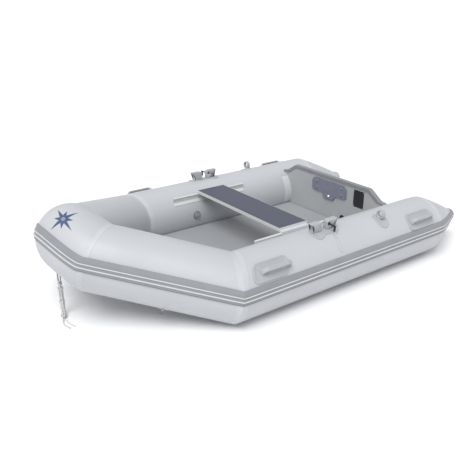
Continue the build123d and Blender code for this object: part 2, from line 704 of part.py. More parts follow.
# ---- fittings glued to the side tubes -------------------------------------------
def side_place(at_station, angle, height=0.0):
    """Plane on the port side tube: X forward, Z outwards, `height` above the skin."""
    return radial_plane(0, at_station - CONE_STATION, angle, TUBE_R + height)


def glued_to_tube(thickness):
    """Trim the current part to a layer of `thickness` that lies on the side tube."""
    with BuildPart(mode=Mode.PRIVATE) as layer:
        with BuildSketch(panel_plane(0, -SEAM_ALLOWANCE)):
            Circle(TUBE_R + thickness)
            Circle(TUBE_R, mode=Mode.SUBTRACT)
        extrude(amount=panel_length(0) + 2 * SEAM_ALLOWANCE)
    add(layer.part, mode=Mode.INTERSECT)


GRIP_END = GRIP_LENGTH / 2
GRIP_LOW = HANDLE_PAD + HANDLE_GAP
GRIP_SEAT = HANDLE_PAD - BEDDING

for name, at in HANDLE_STATIONS.items():
    with BuildPart() as handle:
        with BuildSketch(side_place(at, HANDLE_ANGLE, -PAD_CUT)):
            RectangleRounded(HANDLE_SIZE[0], HANDLE_SIZE[1], HANDLE_CORNER)
        extrude(amount=2 * PAD_CUT)
        glued_to_tube(HANDLE_PAD)
        along = side_place(at, HANDLE_ANGLE)
        with BuildSketch(Plane(along.origin, x_dir=along.x_dir, z_dir=along.y_dir * -1)) as side:
            Polygon(
                (-GRIP_END - GRIP_FLARE, GRIP_SEAT), (-GRIP_END, GRIP_LOW),
                (-GRIP_END + GRIP_SHOULDER, GRIP_LOW + GRIP_T), (GRIP_END - GRIP_SHOULDER, GRIP_LOW + GRIP_T),
                (GRIP_END, GRIP_LOW), (GRIP_END + GRIP_FLARE, GRIP_SEAT),
                (GRIP_END - GRIP_FOOT, GRIP_SEAT), (GRIP_END - GRIP_FOOT - GRIP_FLARE / 2, GRIP_LOW),
                (-GRIP_END + GRIP_FOOT + GRIP_FLARE / 2, GRIP_LOW), (-GRIP_END + GRIP_FOOT, GRIP_SEAT),
                align=None,
            )
        extrude(amount=GRIP_W / 2, both=True)
    save_pair(handle, f"handle_{name}")

ROWLOCK = side_place(ROWLOCK_STATION, ROWLOCK_ANGLE)
ROWLOCK_SIDE = Plane(ROWLOCK.origin, x_dir=ROWLOCK.x_dir, z_dir=ROWLOCK.y_dir * -1)
HALF_GAP = OAR_GAP / 2
PIN_OFFSET = -HALF_GAP - PIN_IN_HORN
PIN_OUT = 76.0
PIN_IN = 24.0
PIN_COLLAR = (9.0, 5.0)   # radius and thickness of the stop against the horn
PIN_BLADE = (10.0, 36.0)  # thickness and length of the pull tab
HORN = [
    (HALF_GAP, 0), (HALF_GAP, HORN_HEIGHT - HORN_SHOULDER[1]), (HALF_GAP + HORN_SHOULDER[0], HORN_HEIGHT),
    (HALF_GAP + HORN_TOP, HORN_HEIGHT), (HALF_GAP + HORN_BASE, HORN_WAIST[1]),
    (HALF_GAP + HORN_BASE - HORN_NECK, HORN_WAIST[0]), (HALF_GAP + HORN_BASE + HORN_FOOT, 0),
]

with BuildPart() as rowlock_base:
    along, across, long_r, short_r = ROWLOCK_LOBES
    with BuildSketch(side_place(ROWLOCK_STATION, ROWLOCK_ANGLE - 4, -PAD_CUT)):
        with Locations((-along, -across), (along, across)):
            Ellipse(long_r, short_r)
        Rectangle(*ROWLOCK_MIDDLE)
    extrude(amount=2 * PAD_CUT)
    glued_to_tube(ROWLOCK_PAD)
    with BuildSketch(ROWLOCK_SIDE):
        Polygon(*[(x, z + ROWLOCK_PAD - BEDDING) for x, z in HORN], align=None)
        Polygon(*[(-x, z + ROWLOCK_PAD - BEDDING) for x, z in reversed(HORN)], align=None)
    extrude(amount=HORN_W / 2, both=True)
    with BuildSketch(ROWLOCK_SIDE):
        with Locations((PIN_OFFSET, ROWLOCK_PIN_H)):
            Circle(ROWLOCK_PIN_R + ROWLOCK_PIN_FIT)
    extrude(amount=HORN_W, both=True, mode=Mode.SUBTRACT)
save_pair(rowlock_base, "rowlock_base")

OUTBOARD = -1            # the side plane's normal points inboard
with BuildPart() as rowlock_pin:
    with BuildSketch(ROWLOCK_SIDE.offset(-PIN_IN * OUTBOARD)):
        with Locations((PIN_OFFSET, ROWLOCK_PIN_H)):
            Circle(ROWLOCK_PIN_R)
    extrude(amount=(PIN_IN + PIN_OUT) * OUTBOARD)
    with BuildSketch(ROWLOCK_SIDE.offset((HORN_W / 2 + COLLAR_CLEAR) * OUTBOARD)):
        with Locations((PIN_OFFSET, ROWLOCK_PIN_H)):
            Circle(PIN_COLLAR[0])
    extrude(amount=PIN_COLLAR[1] * OUTBOARD)
    with BuildSketch(ROWLOCK_SIDE.offset((PIN_OUT - PIN_BLADE[0]) * OUTBOARD)):
        with Locations((PIN_OFFSET, ROWLOCK_PIN_H + ROWLOCK_PIN_R)):
            Rectangle(PIN_BLADE[0], PIN_BLADE[1], align=(Align.CENTER, Align.MAX))
    extrude(amount=PIN_BLADE[0] * OUTBOARD)
save_pair(rowlock_pin, "rowlock_pin")

with BuildPart() as oar_clip:
    with BuildSketch(side_place(CLIP_STATION, CLIP_PAD_ANGLE, -PAD_CUT)):
        with Locations((0, -CLIP_PAD_IN)):
            Circle(CLIP_PAD_R)
        with Locations(CLIP_PAD_TIP):
            Circle(CLIP_TIP_R)
        make_hull()
    extrude(amount=2 * PAD_CUT)
    glued_to_tube(CLIP_PAD)
    ring = side_place(CLIP_STATION, CLIP_ANGLE, CLIP_PAD + CLIP_BORE + CLIP_WALL - BEDDING)
    across = Plane(ring.origin - ring.x_dir * CLIP_W / 2, x_dir=ring.y_dir, z_dir=ring.x_dir)
    with BuildSketch(across):
        Circle(CLIP_BORE + CLIP_WALL)
        with Locations((0, -CLIP_BORE)):
            Rectangle(2 * CLIP_BORE, CLIP_STEM)
        Circle(CLIP_BORE, mode=Mode.SUBTRACT)
    extrude(amount=CLIP_W)
    add(ENVELOPES[0], mode=Mode.SUBTRACT)
save_pair(oar_clip, "oar_clip")

# ---- valves ---------------------------------------------------------------------
CAP_T = 7.0
SPIDER_T = 4.0
FLANGE_RISE = 4.0         # flange above the tube's skin
FLANGE_SINK = 10.0        # and how deep its block starts, before the tube's round is cut from it
AIR_HOLES = (10.5, 3.4)   # ring radius and hole radius in the spider
DISC_T = 3.0              # the sealing disc behind the spider
DISC_GAP = 4.0
BUTTON_R = 7.0
BUTTON_T = 4.0
BUTTON_DEPTH = 12.0
SKIRT_T = 3.7
SKIRT_REACH = 2.0
TAB_T = 6.0
TAB_H = 5.0
with BuildPart() as valve_body:
    with BuildSketch(valve_plane(-FLANGE_SINK)):
        Circle(VALVE_FLANGE_R)
    extrude(amount=FLANGE_SINK + FLANGE_RISE)
    add(ENVELOPES[0], mode=Mode.SUBTRACT)
    with BuildSketch(valve_plane(-VALVE_DEPTH)):
        Circle(VALVE_BARREL_R - BARREL_FIT)
    extrude(amount=VALVE_DEPTH + FLANGE_RISE)
    with BuildSketch(valve_plane(-VALVE_DEPTH + SPIDER_T)):
        Circle(VALVE_BORE_R)
    extrude(amount=VALVE_DEPTH + 2 * FLANGE_RISE, mode=Mode.SUBTRACT)
    with BuildSketch(valve_plane(-VALVE_DEPTH)):
        Circle(VALVE_STEM_R + VALVE_FIT)
        with PolarLocations(AIR_HOLES[0], 4):
            Circle(AIR_HOLES[1])
    extrude(amount=SPIDER_T, mode=Mode.SUBTRACT)
save_pair(valve_body, "valve_body")

DISC_DEPTH = VALVE_DEPTH + DISC_GAP + DISC_T
with BuildPart() as valve_plunger:
    with BuildSketch(valve_plane(-DISC_DEPTH)):
        Circle(VALVE_STEM_R)
    extrude(amount=DISC_DEPTH - BUTTON_DEPTH + BUTTON_T)
    with BuildSketch(valve_plane(-DISC_DEPTH)):
        Circle(VALVE_BORE_R)
    extrude(amount=DISC_T)
    with BuildSketch(valve_plane(-BUTTON_DEPTH)):
        Circle(BUTTON_R)
    extrude(amount=BUTTON_T)
save_pair(valve_plunger, "valve_plunger")

with BuildPart() as valve_cap:
    with BuildSketch(valve_plane(FLANGE_RISE + VALVE_FIT)):
        Circle(VALVE_CAP_R)
    extrude(amount=CAP_T)
    with BuildSketch(valve_plane(-SKIRT_REACH)):
        Circle(VALVE_BORE_R - VALVE_FIT)
        Circle(VALVE_BORE_R - VALVE_FIT - SKIRT_T, mode=Mode.SUBTRACT)
    extrude(amount=SKIRT_REACH + FLANGE_RISE + CAP_T / 2)
    with BuildSketch(valve_plane(FLANGE_RISE + VALVE_FIT + CAP_T)):
        Rectangle(2 * (VALVE_CAP_R - TAB_T), TAB_T)
    extrude(amount=TAB_H)
save_pair(valve_cap, "valve_cap")

# ---- tow ring on the nose --------------------------------------------------------
TOW_ANGLE = -62.2
tow_radial = radial_plane(2, panel_length(2), TOW_ANGLE, TUBE_R)
tow_point = tow_radial.origin - RUNS[2] * (tow_radial.origin.Y / RUNS[2].Y)
tow_normal = Vector(tow_radial.z_dir.X, 0, tow_radial.z_dir.Z).normalized()
TOW_FACE = Plane(tow_point, x_dir=(0, 1, 0), z_dir=tow_normal)
KEEPER_HALF = 10.0
KEEPER_H = 15.0
BAR_H = 9.0
RING_HALF = 21.0
RING_DROP = 64.0
TOW_PATCH_R = 50.0
TOW_PATCH_T = 4.0
DRING_PATCH_R = 30.0
DRING_PATCH_T = 3.0
DRING_HALF = 14.0
DRING_DROP = 26.0
DRING_KEEPER_HALF = 7.0
KEEPER_DEPTH = 16.0
KEEPER_SINK = 6.0
KEEPER_BORE_OVER = 5.0    # how far the bore's cutter runs past each end
RING_CORNER = 0.45        # corner radius over the ring's half width


def ring_plane(face, down):
    """Plane of a hanging ring: origin on its bar, X along the bar, Y down."""
    bar = face.origin + face.z_dir * BAR_H
    return Plane(bar, x_dir=face.x_dir, z_dir=face.x_dir.cross(down))


def keeper(face, half, wire):
    """Webbing keeper that holds a ring's bar."""
    with BuildPart(mode=Mode.PRIVATE) as block:
        with BuildSketch(face.offset(-KEEPER_SINK)):
            Rectangle(2 * half, KEEPER_DEPTH)
        extrude(amount=KEEPER_H + KEEPER_SINK)
        with BuildSketch(Plane(face.origin + face.z_dir * BAR_H, x_dir=face.z_dir, z_dir=face.x_dir)):
            Circle(wire + RING_FIT)
        extrude(amount=half + KEEPER_BORE_OVER, both=True, mode=Mode.SUBTRACT)
    return block.part


def hanging_ring(face, down, half, drop, wire):
    frame = ring_plane(face, down)
    with BuildPart() as ring:
        with BuildLine(frame) as path:
            FilletPolyline(
                (half, 0), (half, drop), (-half, drop), (-half, 0),
                radius=RING_CORNER * half, close=True,
            )
        start = path.wire() @ 0
        with BuildSketch(Plane(start, z_dir=path.wire() % 0)):
            Circle(wire)
        sweep()
    return ring


def nose_layer(thickness):
    with BuildPart(mode=Mode.PRIVATE) as layer:
        half = tube_envelope(2, TUBE_R + thickness)
        add(half)
        mirror(half, about=Plane.XZ)
        for solid in both_sides(ENVELOPES[2]):
            add(solid, mode=Mode.SUBTRACT)
    return layer.part


with BuildPart() as tow_patch:
    with BuildSketch(TOW_FACE.offset(-TOW_PATCH_R)):
        Circle(TOW_PATCH_R)
    extrude(amount=2 * TOW_PATCH_R)
    add(nose_layer(TOW_PATCH_T), mode=Mode.INTERSECT)
    add(keeper(TOW_FACE, KEEPER_HALF, RING_WIRE))
    for solid in both_sides(ENVELOPES[2]):
        add(solid, mode=Mode.SUBTRACT)
save(tow_patch, "tow_patch")

DOWN = Vector(0, 0, -1)
tow_ring = hanging_ring(TOW_FACE, DOWN, RING_HALF, RING_DROP, RING_WIRE)
save(tow_ring, "tow_ring")

DRING_FACE = radial_plane(1, DRING_ALONG, DRING_ANGLE, TUBE_R)
with BuildPart() as dring_patches:
    with BuildSketch(DRING_FACE.offset(-DRING_PATCH_R)):
        Circle(DRING_PATCH_R)
    extrude(amount=2 * DRING_PATCH_R)
    with BuildPart(mode=Mode.PRIVATE) as round_layer:
        with BuildSketch(panel_plane(1)):
            Circle(TUBE_R + DRING_PATCH_T)
        extrude(amount=panel_length(1))
    add(round_layer.part, mode=Mode.INTERSECT)
    add(keeper(DRING_FACE, DRING_KEEPER_HALF, DRING_WIRE))
    add(tube_envelope_long(1), mode=Mode.SUBTRACT)
    mirror(dring_patches.part, about=Plane.XZ)
save(dring_patches, "dring_patches")

lowered = (DOWN - RUNS[1] * DOWN.dot(RUNS[1])).normalized()
dring = hanging_ring(DRING_FACE, lowered, DRING_HALF, DRING_DROP, DRING_WIRE)
save_pair(dring, "dring")


# ---- painter and lanyards ------------------------------------------------------
def turn_radii(points):
    """Largest arcs that the runs of a cord's route leave room for."""
    spots = [Vector(*p) for p in points]
    runs = [b - a for a, b in zip(spots, spots[1:])]
    radii = []
    for before, after in zip(runs, runs[1:]):
        half_turn = math.radians(before.get_angle(after)) / 2
        radii.append(0.45 * min(before.length, after.length) / math.tan(half_turn))
    return radii


def cord(label, points, radius):
    """Tube of a cord along its route, with its length and tightest arc printed."""
    radii = turn_radii(points)
    with BuildPart() as tube:
        with BuildLine() as route:
            FilletPolyline(*points, radius=radii)
        wire = route.wire()
        with BuildSketch(Plane(wire @ 0, z_dir=wire % 0)):
            Circle(radius)
        sweep()
    share = tube.part.volume / (math.pi * radius**2 * wire.length)
    print(f"{label}: length {wire.length:.0f} mm, smallest radius {min(radii):.1f} mm, "
          f"volume over section times length {share:.4f}")
    return tube


TOW_BAR = ring_plane(TOW_FACE, DOWN).origin
HANK_R = 15.0
HANK_GAP = 1.0
GROUND_GAP = 0.5
HANK_BEND_R = 33.0
HANK_TOP = TOW_BAR.Z - RING_DROP - RING_WIRE - HANK_GAP
HANK_LIE = 80.0
LIE = Vector(0.31, 0.95, 0).normalized()
ACROSS = Vector(-LIE.Y, LIE.X, 0)


def on_ground(along, across, height):
    """Point beyond the hank's end: along its lie, across it and above the ground."""
    foot = Vector(TOW_BAR.X, TOW_BAR.Y, 0)
    return tuple(foot + LIE * (HANK_LIE + along) + ACROSS * across + Vector(0, 0, height))


with BuildPart() as painter_hank:
    corner = Vector(TOW_BAR.X, TOW_BAR.Y, HANK_R + GROUND_GAP)
    with BuildLine() as hank_line:
        FilletPolyline(
            Vector(TOW_BAR.X, TOW_BAR.Y, HANK_TOP), corner, corner + LIE * HANK_LIE,
            radius=HANK_BEND_R,
        )
    with BuildSketch(Plane(hank_line.wire() @ 0, z_dir=hank_line.wire() % 0)):
        Circle(HANK_R)
    sweep()
save(painter_hank, "painter_hank")

PAINTER_ROUTE = [
    on_ground(-3, -5, 8), on_ground(26, -9, 5), on_ground(54, -5, 4.5),
    on_ground(80, 8, 4.5), on_ground(104, 26, 4.5),
]
TIE_ROUTE = [
    on_ground(-3, 7, 8), on_ground(24, 14, 4.5), on_ground(46, 24, 3.5),
    on_ground(70, 38, 3.5), on_ground(88, 54, 3.5),
]
painter_tail = cord("painter_tail", PAINTER_ROUTE, PAINTER_R)
save(painter_tail, "painter_tail")
tie_tail = cord("tie_tail", TIE_ROUTE, PAINTER_R - 1)
save(tie_tail, "tie_tail")


def on_side_tube(at_station, angle, height):
    """Point over the port side tube's skin."""
    turn = math.radians(angle)
    reach = TUBE_R + height
    return (
        station(at_station), TUBE_Y + reach * math.cos(turn), TUBE_R + reach * math.sin(turn)
    )


# Station from the pin, degrees above level, height over the skin.
LANYARD_ROUTE = [
    (2.5, 65.6, 24.5), (4, 61, 13), (8, 54.5, 5), (14, 48, 3), (18, 41, 3), (17, 34.5, 3),
    (11, 30, 3), (2, 28.5, 3), (-6, 31.5, 3), (-10, 38, 3), (-9, 45, 3), (-6, 51, 3.5),
    (-4, 57, 7), (-3, 62, 14), (-2.5, 65.6, 24.5),
]
pin_station = ROWLOCK_STATION + PIN_OFFSET
lanyard = cord(
    "lanyard", [on_side_tube(pin_station + x, angle, height) for x, angle, height in LANYARD_ROUTE],
    LANYARD_R,
)
save_pair(lanyard, "lanyard")
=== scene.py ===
import math

import bmesh
import bpy
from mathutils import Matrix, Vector


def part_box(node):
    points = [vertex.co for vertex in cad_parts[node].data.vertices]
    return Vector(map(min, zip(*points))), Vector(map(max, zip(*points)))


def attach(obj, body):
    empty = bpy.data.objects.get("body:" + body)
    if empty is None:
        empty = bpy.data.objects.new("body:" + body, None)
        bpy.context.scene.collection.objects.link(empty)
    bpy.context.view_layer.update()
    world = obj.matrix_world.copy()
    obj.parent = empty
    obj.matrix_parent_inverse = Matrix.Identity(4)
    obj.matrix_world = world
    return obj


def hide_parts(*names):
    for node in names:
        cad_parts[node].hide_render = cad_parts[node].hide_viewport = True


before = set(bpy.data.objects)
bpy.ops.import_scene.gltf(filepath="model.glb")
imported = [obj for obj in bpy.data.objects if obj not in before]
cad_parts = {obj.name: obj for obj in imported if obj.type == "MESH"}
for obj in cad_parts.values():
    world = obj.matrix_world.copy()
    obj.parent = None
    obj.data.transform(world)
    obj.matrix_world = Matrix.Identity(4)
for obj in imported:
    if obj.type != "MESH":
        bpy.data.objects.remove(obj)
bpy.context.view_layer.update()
scene = bpy.context.scene


# ---- studio ----------------------------------------------------------
# A pale seamless floor, an even sky and one broad soft sun from over the port bow.
# The camera stands off the port bow and looks down on the boat.
def linear(hex_colour):
    """sRGB hex to a linear RGBA colour."""
    shares = [int(hex_colour[i:i + 2], 16) / 255 for i in (1, 3, 5)]
    return tuple([c / 12.92 if c <= 0.04045 else ((c + 0.055) / 1.055) ** 2.4 for c in shares] + [1.0])


def add_node(tree, kind, settings=None, inputs=None):
    """Adds a shader node; inputs are values, or the sockets that feed them."""
    made = tree.nodes.new("ShaderNode" + kind)
    for name, value in (settings or {}).items():
        setattr(made, name, value)
    for name, value in (inputs or {}).items():
        if isinstance(value, bpy.types.NodeSocket):
            tree.links.new(value, made.inputs[name])
        else:
            made.inputs[name].default_value = value
    return made


def new_material(name):
    """A material, its node tree and its surface shader."""
    material = bpy.data.materials.new(name)
    material.use_nodes = True
    tree = material.node_tree
    return material, tree, tree.nodes["Principled BSDF"]


def two_tones(tree, share, pale, dark):
    """Mixes two colours by a node's output and feeds the surface with them."""
    tint = add_node(tree, "MixRGB", None, {"Fac": share, "Color1": linear(pale), "Color2": linear(dark)})
    tree.links.new(tint.outputs["Color"], tree.nodes["Principled BSDF"].inputs["Base Color"])
    return tint


def embossed(tree, height, strength, distance, invert=False):
    """Gives the surface the relief of a node's output, in metres."""
    relief = add_node(tree, "Bump", {"invert": invert},
                      {"Height": height, "Strength": strength, "Distance": distance})
    tree.links.new(relief.outputs["Normal"], tree.nodes["Principled BSDF"].inputs["Normal"])


CAMERA_SPOT = Vector((2.3827, 3.0783, 1.7838))
CAMERA_AIM = Vector((-0.5487, -0.7407, -0.3877))
LENS = 45.67
SENSOR = 36.0
VIEW_DEPTH = 500.0
SKY_STRENGTH = 0.62
SUN_STRENGTH = 2.1
SUN_FROM = Vector((0.62, 0.42, 1.25))
SUN_SOFTNESS = 38.0       # degrees across; wide, so that shadows have soft edges
FLOOR_REACH = 120.0

camera_data = bpy.data.cameras.new("camera")
camera_data.lens = LENS
camera_data.sensor_width = SENSOR
camera_data.clip_end = VIEW_DEPTH
camera = bpy.data.objects.new("camera", camera_data)
camera.location = CAMERA_SPOT
camera.rotation_mode = "QUATERNION"
camera.rotation_quaternion = CAMERA_AIM.to_track_quat("-Z", "Y")
scene.collection.objects.link(camera)
scene.camera = camera
scene.view_settings.view_transform = "Standard"

sky = bpy.data.worlds.new("sky")
sky.use_nodes = True
sky.node_tree.nodes["Background"].inputs["Color"].default_value = linear("#fbfcff")
sky.node_tree.nodes["Background"].inputs["Strength"].default_value = SKY_STRENGTH
scene.world = sky

sun_data = bpy.data.lights.new("sun", "SUN")
sun_data.energy = SUN_STRENGTH
sun_data.angle = math.radians(SUN_SOFTNESS)
sun = bpy.data.objects.new("sun", sun_data)
sun.rotation_mode = "QUATERNION"
sun.rotation_quaternion = (-SUN_FROM).to_track_quat("-Z", "Y")
scene.collection.objects.link(sun)

# Matt white paper without any shine, so that the boat's shadow is all it shows.
paper, tree, shader = new_material("matt_white_paper")
shader.inputs["Base Color"].default_value = linear("#fafafa")
shader.inputs["Roughness"].default_value = 0.9
shader.inputs["Specular IOR Level"].default_value = 0.0
floor_data = bpy.data.meshes.new("studio_floor")
corners = [(-1, -1), (1, -1), (1, 1), (-1, 1)]
floor_data.from_pydata([(x * FLOOR_REACH, y * FLOOR_REACH, 0.0) for x, y in corners], [], [(0, 1, 2, 3)])
floor_data.materials.append(paper)
studio_floor = bpy.data.objects.new("studio_floor", floor_data)
scene.collection.objects.link(studio_floor)


# ---- painter: the bow rope -------------------------------------------
# An 8 mm braided polyester rope. It goes round the tow ring's bar, is folded into five
# runs, whipped with twine, and its end lies out on the ground beside a thinner tie.
PAINTER_R = 0.004
TIE_R = 0.003
BUNDLE_R = 0.0106         # from the hank's middle to each run's
BUNDLE_Z = 0.0172         # its middle where it lies on the ground
BUNDLE_BEND = 0.033       # radius of its bend from upright to lying
BUNDLE_LIE = 0.080        # how far it reaches along the ground
BUNDLE_TWIST = 0.7        # radians from one end to the other
RUN_COUNT = 5
RUN_ORDER = [0, 2, 4, 1, 3]    # the rope crosses the hank at each fold
BRAID_PITCH = 0.003       # drawn coarser than real so that it shows
LIE = Vector((0.31, 0.95, 0.0)).normalized()
ACROSS = Vector((-LIE.y, LIE.x, 0.0))
ring_low, ring_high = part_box("tow_ring")
RING_X = (ring_low.x + ring_high.x) / 2
RING_BAR_Z = ring_low.z + 0.0035
HANK_TOP = RING_BAR_Z - 0.016

# Off-white and dry, with the diagonal relief of its braid and a little grime.
braid, tree, shader = new_material("braided_white_polyester")
spots = add_node(tree, "TexCoord")
yarns = add_node(tree, "TexWave", {"bands_direction": "DIAGONAL"},
                 {"Vector": spots.outputs["Object"], "Scale": 1 / BRAID_PITCH / 6.28, "Distortion": 0.6})
grime = add_node(tree, "TexNoise", None, {"Vector": spots.outputs["Object"], "Scale": 30.0, "Detail": 3.0})
two_tones(tree, grime.outputs["Fac"], "#dadbd9", "#c3c5c4")
embossed(tree, yarns.outputs["Fac"], 0.5, 0.001)
shader.inputs["Roughness"].default_value = 0.75
shader.inputs["Sheen Weight"].default_value = 0.15


def link(piece):
    """Puts an object in the scene."""
    scene.collection.objects.link(piece)
    return piece


def cord_curve(name, points, radius, material):
    """A round cord whose centre line is one smooth spline with those control points."""
    data = bpy.data.curves.new(name, "CURVE")
    data.dimensions = "3D"
    data.bevel_depth = radius
    data.bevel_resolution = 4
    data.use_fill_caps = True
    spline = data.splines.new("NURBS")
    spline.points.add(len(points) - 1)
    for spot, point in zip(spline.points, points):
        spot.co = (*point, 1.0)
    spline.order_u = 3
    spline.use_endpoint_u = True
    spline.resolution_u = 6
    data.materials.append(material)
    return link(bpy.data.objects.new(name, data))


def on_ground(along, across, height):
    """Point past the hank's end, in millimetres along its lie, across it and up."""
    foot = Vector((RING_X, 0.0, 0.0)) + LIE * BUNDLE_LIE
    return foot + (LIE * along + ACROSS * across + Vector((0, 0, height))) / 1000


UPRIGHT = HANK_TOP - BUNDLE_Z - BUNDLE_BEND
ARC = BUNDLE_BEND * math.pi / 2
BUNDLE_LENGTH = UPRIGHT + ARC + BUNDLE_LIE - BUNDLE_BEND


def bundle_frame(s):
    """Middle of the hank at distance s from its top, and the direction inside its bend."""
    turn = min(max((s - UPRIGHT) / BUNDLE_BEND, 0.0), math.pi / 2)
    inner = LIE * math.cos(turn) + Vector((0, 0, math.sin(turn)))
    centre = Vector((RING_X, 0, BUNDLE_Z + BUNDLE_BEND)) + LIE * BUNDLE_BEND
    spot = centre - inner * BUNDLE_BEND
    if s < UPRIGHT:
        spot.z += UPRIGHT - s
    if s > UPRIGHT + ARC:
        spot += LIE * (s - UPRIGHT - ARC)
    return spot, inner


def bundle_point(s, run, radius=BUNDLE_R):
    """Point on one of the hank's runs at distance s from its top."""
    spot, inner = bundle_frame(s)
    angle = math.tau * run / RUN_COUNT + BUNDLE_TWIST * s / BUNDLE_LENGTH
    return spot + (inner * math.cos(angle) + ACROSS * math.sin(angle)) * radius


STEP = 0.022              # between the points of a run
FOLD = 0.010              # how far a fold reaches past its run's last point
FOLD_R = 0.008
FOLD_STAGGER = 0.004      # folds lie beside one another, not in one heap
FIRST_POINT, LAST_POINT = 0.008, 0.022
painter_points = [
    Vector((RING_X - 0.0085, 0.004, RING_BAR_Z - 0.010)),
    Vector((RING_X - 0.0090, 0.003, RING_BAR_Z + 0.004)),
    Vector((RING_X - 0.0030, 0.001, RING_BAR_Z + 0.010)),
    Vector((RING_X + 0.0050, -0.001, RING_BAR_Z + 0.0095)),
    Vector((RING_X + 0.0095, -0.002, RING_BAR_Z + 0.001)),
    Vector((RING_X + 0.0090, -0.002, RING_BAR_Z - 0.009)),
]
run_length = BUNDLE_LENGTH - FIRST_POINT - LAST_POINT
stations = [FIRST_POINT + STEP * i for i in range(int(run_length / STEP) + 1)]
for order, run in enumerate(RUN_ORDER):
    downward = order % 2 == 0
    shift = FOLD_STAGGER * (order // 2)
    spots_along = stations if downward else stations[::-1]
    painter_points += [bundle_point(s, run) for s in spots_along]
    if order + 1 < len(RUN_ORDER):
        end = spots_along[-1] + (FOLD + shift if downward else -FOLD + shift)
        painter_points += [bundle_point(end, fold_run, FOLD_R) for fold_run in RUN_ORDER[order:order + 2]]
painter_points += [
    bundle_point(BUNDLE_LENGTH - 0.004, RUN_ORDER[-1], 0.007),
    on_ground(26, -9, 5), on_ground(54, -5, 4.5), on_ground(80, 8, 4.5), on_ground(104, 26, 4.5),
]
painter = cord_curve("painter_rope", painter_points, PAINTER_R, braid)

tie_points = [
    on_ground(-3, 7, 8), on_ground(24, 14, 4.5), on_ground(46, 24, 3.5),
    on_ground(70, 38, 3.5), on_ground(88, 54, 3.5),
]
tie = cord_curve("tie_cord", tie_points, TIE_R, braid)


def mesh_piece(name, points, faces, materials, sharp=35.0, face_slots=None):
    """A mesh with outward faces, smooth but for edges sharper than `sharp` degrees."""
    data = bpy.data.meshes.new(name)
    data.from_pydata([tuple(p) for p in points], [], faces)
    for material in materials:
        data.materials.append(material)
    for polygon, place in zip(data.polygons, face_slots or []):
        polygon.material_index = place
    work = bmesh.new()
    work.from_mesh(data)
    bmesh.ops.recalc_face_normals(work, faces=work.faces)
    for face in work.faces:
        face.smooth = True
    for edge in work.edges:
        edge.smooth = len(edge.link_faces) < 2 or edge.calc_face_angle(0.0) < math.radians(sharp)
    work.to_mesh(data)
    work.free()
    return link(bpy.data.objects.new(name, data))


def lofted(name, rows, materials, side=1, capped=False, joined=False, sharp=35.0, columns=None):
    """A skin over closed rows of points, mirrored to starboard where side is -1.

    `columns` gives the material of each strip along the rows.
    """
    wide = len(rows[0])
    points = [Vector((p.x, side * p.y, p.z)) for row in rows for p in row]
    faces, slots = [], []
    for i in range(len(rows) if joined else len(rows) - 1):
        for j in range(wide):
            here, there = i * wide, (i + 1) % len(rows) * wide
            faces.append((here + j, here + (j + 1) % wide, there + (j + 1) % wide, there + j))
            slots.append(columns[j] if columns else 0)
    if capped:
        faces.append(tuple(range(wide)))
        faces.append(tuple(range((len(rows) - 1) * wide, len(rows) * wide)))
        slots += [0, 0]
    return mesh_piece(name, points, faces, materials, sharp, slots)


def circle_row(centre, out, up, radius, count=24):
    """Points round a circle in the plane of two directions."""
    return [
        centre + (out * math.cos(math.tau * k / count) + up * math.sin(math.tau * k / count)) * radius
        for k in range(count)
    ]


# Whippings of twine hold the folded rope together.
TWINE_R = 0.0013
TWINE_PITCH = 0.0027
TWINE_OUT = BUNDLE_R + PAINTER_R + 0.0008
TWINE_STEPS = 24          # per turn
whippings = []
for place, (start, turns) in {"top": (0.012, 5), "middle": (0.098, 4), "end": (0.196, 4)}.items():
    rows = []
    for k in range(turns * TWINE_STEPS + 1):
        spot, inner = bundle_frame(start + TWINE_PITCH * k / TWINE_STEPS)
        angle = math.tau * k / TWINE_STEPS
        outward = inner * math.cos(angle) + ACROSS * math.sin(angle)
        ahead = inner.cross(ACROSS).normalized()
        rows.append(circle_row(spot + outward * TWINE_OUT, outward, ahead, TWINE_R, 8))
    whippings.append(lofted(f"whipping_{place}", rows, [braid], capped=True))

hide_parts("painter_hank", "painter_tail")
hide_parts("tie_tail")
for piece in (painter, tie, *whippings):
    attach(piece, "bow_ring")


# ---- lanyards: the strings that keep the oar pins --------------------
# A 3 mm cord of the same braid, spliced to each pin. It loops down over the tube
# and back to the pin.
LANYARD_R = 0.0015
TUBE_R = 0.2
TUBE_Y = 0.63
PIN_X = -0.09453
# Millimetres ahead of the pin, degrees above the tube's outboard side, millimetres off its skin.
LANYARD_ROUTE = [
    (2.5, 65.6, 24.5), (4, 61, 13), (8, 54.5, 5), (14, 48, 3), (18, 41, 3), (17, 34.5, 3),
    (11, 30, 3), (2, 28.5, 3), (-6, 31.5, 3), (-10, 38, 3), (-9, 45, 3), (-6, 51, 3.5),
    (-4, 57, 7), (-3, 62, 14), (-2.5, 65.6, 24.5),
]
SIDES = {"port": 1, "starboard": -1}


def on_side_tube(x, angle, height, side=1):
    """Point over a side tube's skin, `angle` degrees above its outboard side, in metres."""
    turn = math.radians(angle)
    reach = TUBE_R + height
    return Vector((x, side * (TUBE_Y + reach * math.cos(turn)), TUBE_R + reach * math.sin(turn)))


for place, side in SIDES.items():
    points = [on_side_tube(PIN_X + along / 1000, angle, height / 1000, side)
              for along, angle, height in LANYARD_ROUTE]
    lanyard = cord_curve(f"lanyard_cord_{place}", points, LANYARD_R, braid)
    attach(lanyard, f"oar_pin_{place}")
    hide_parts(f"lanyard_{place}")


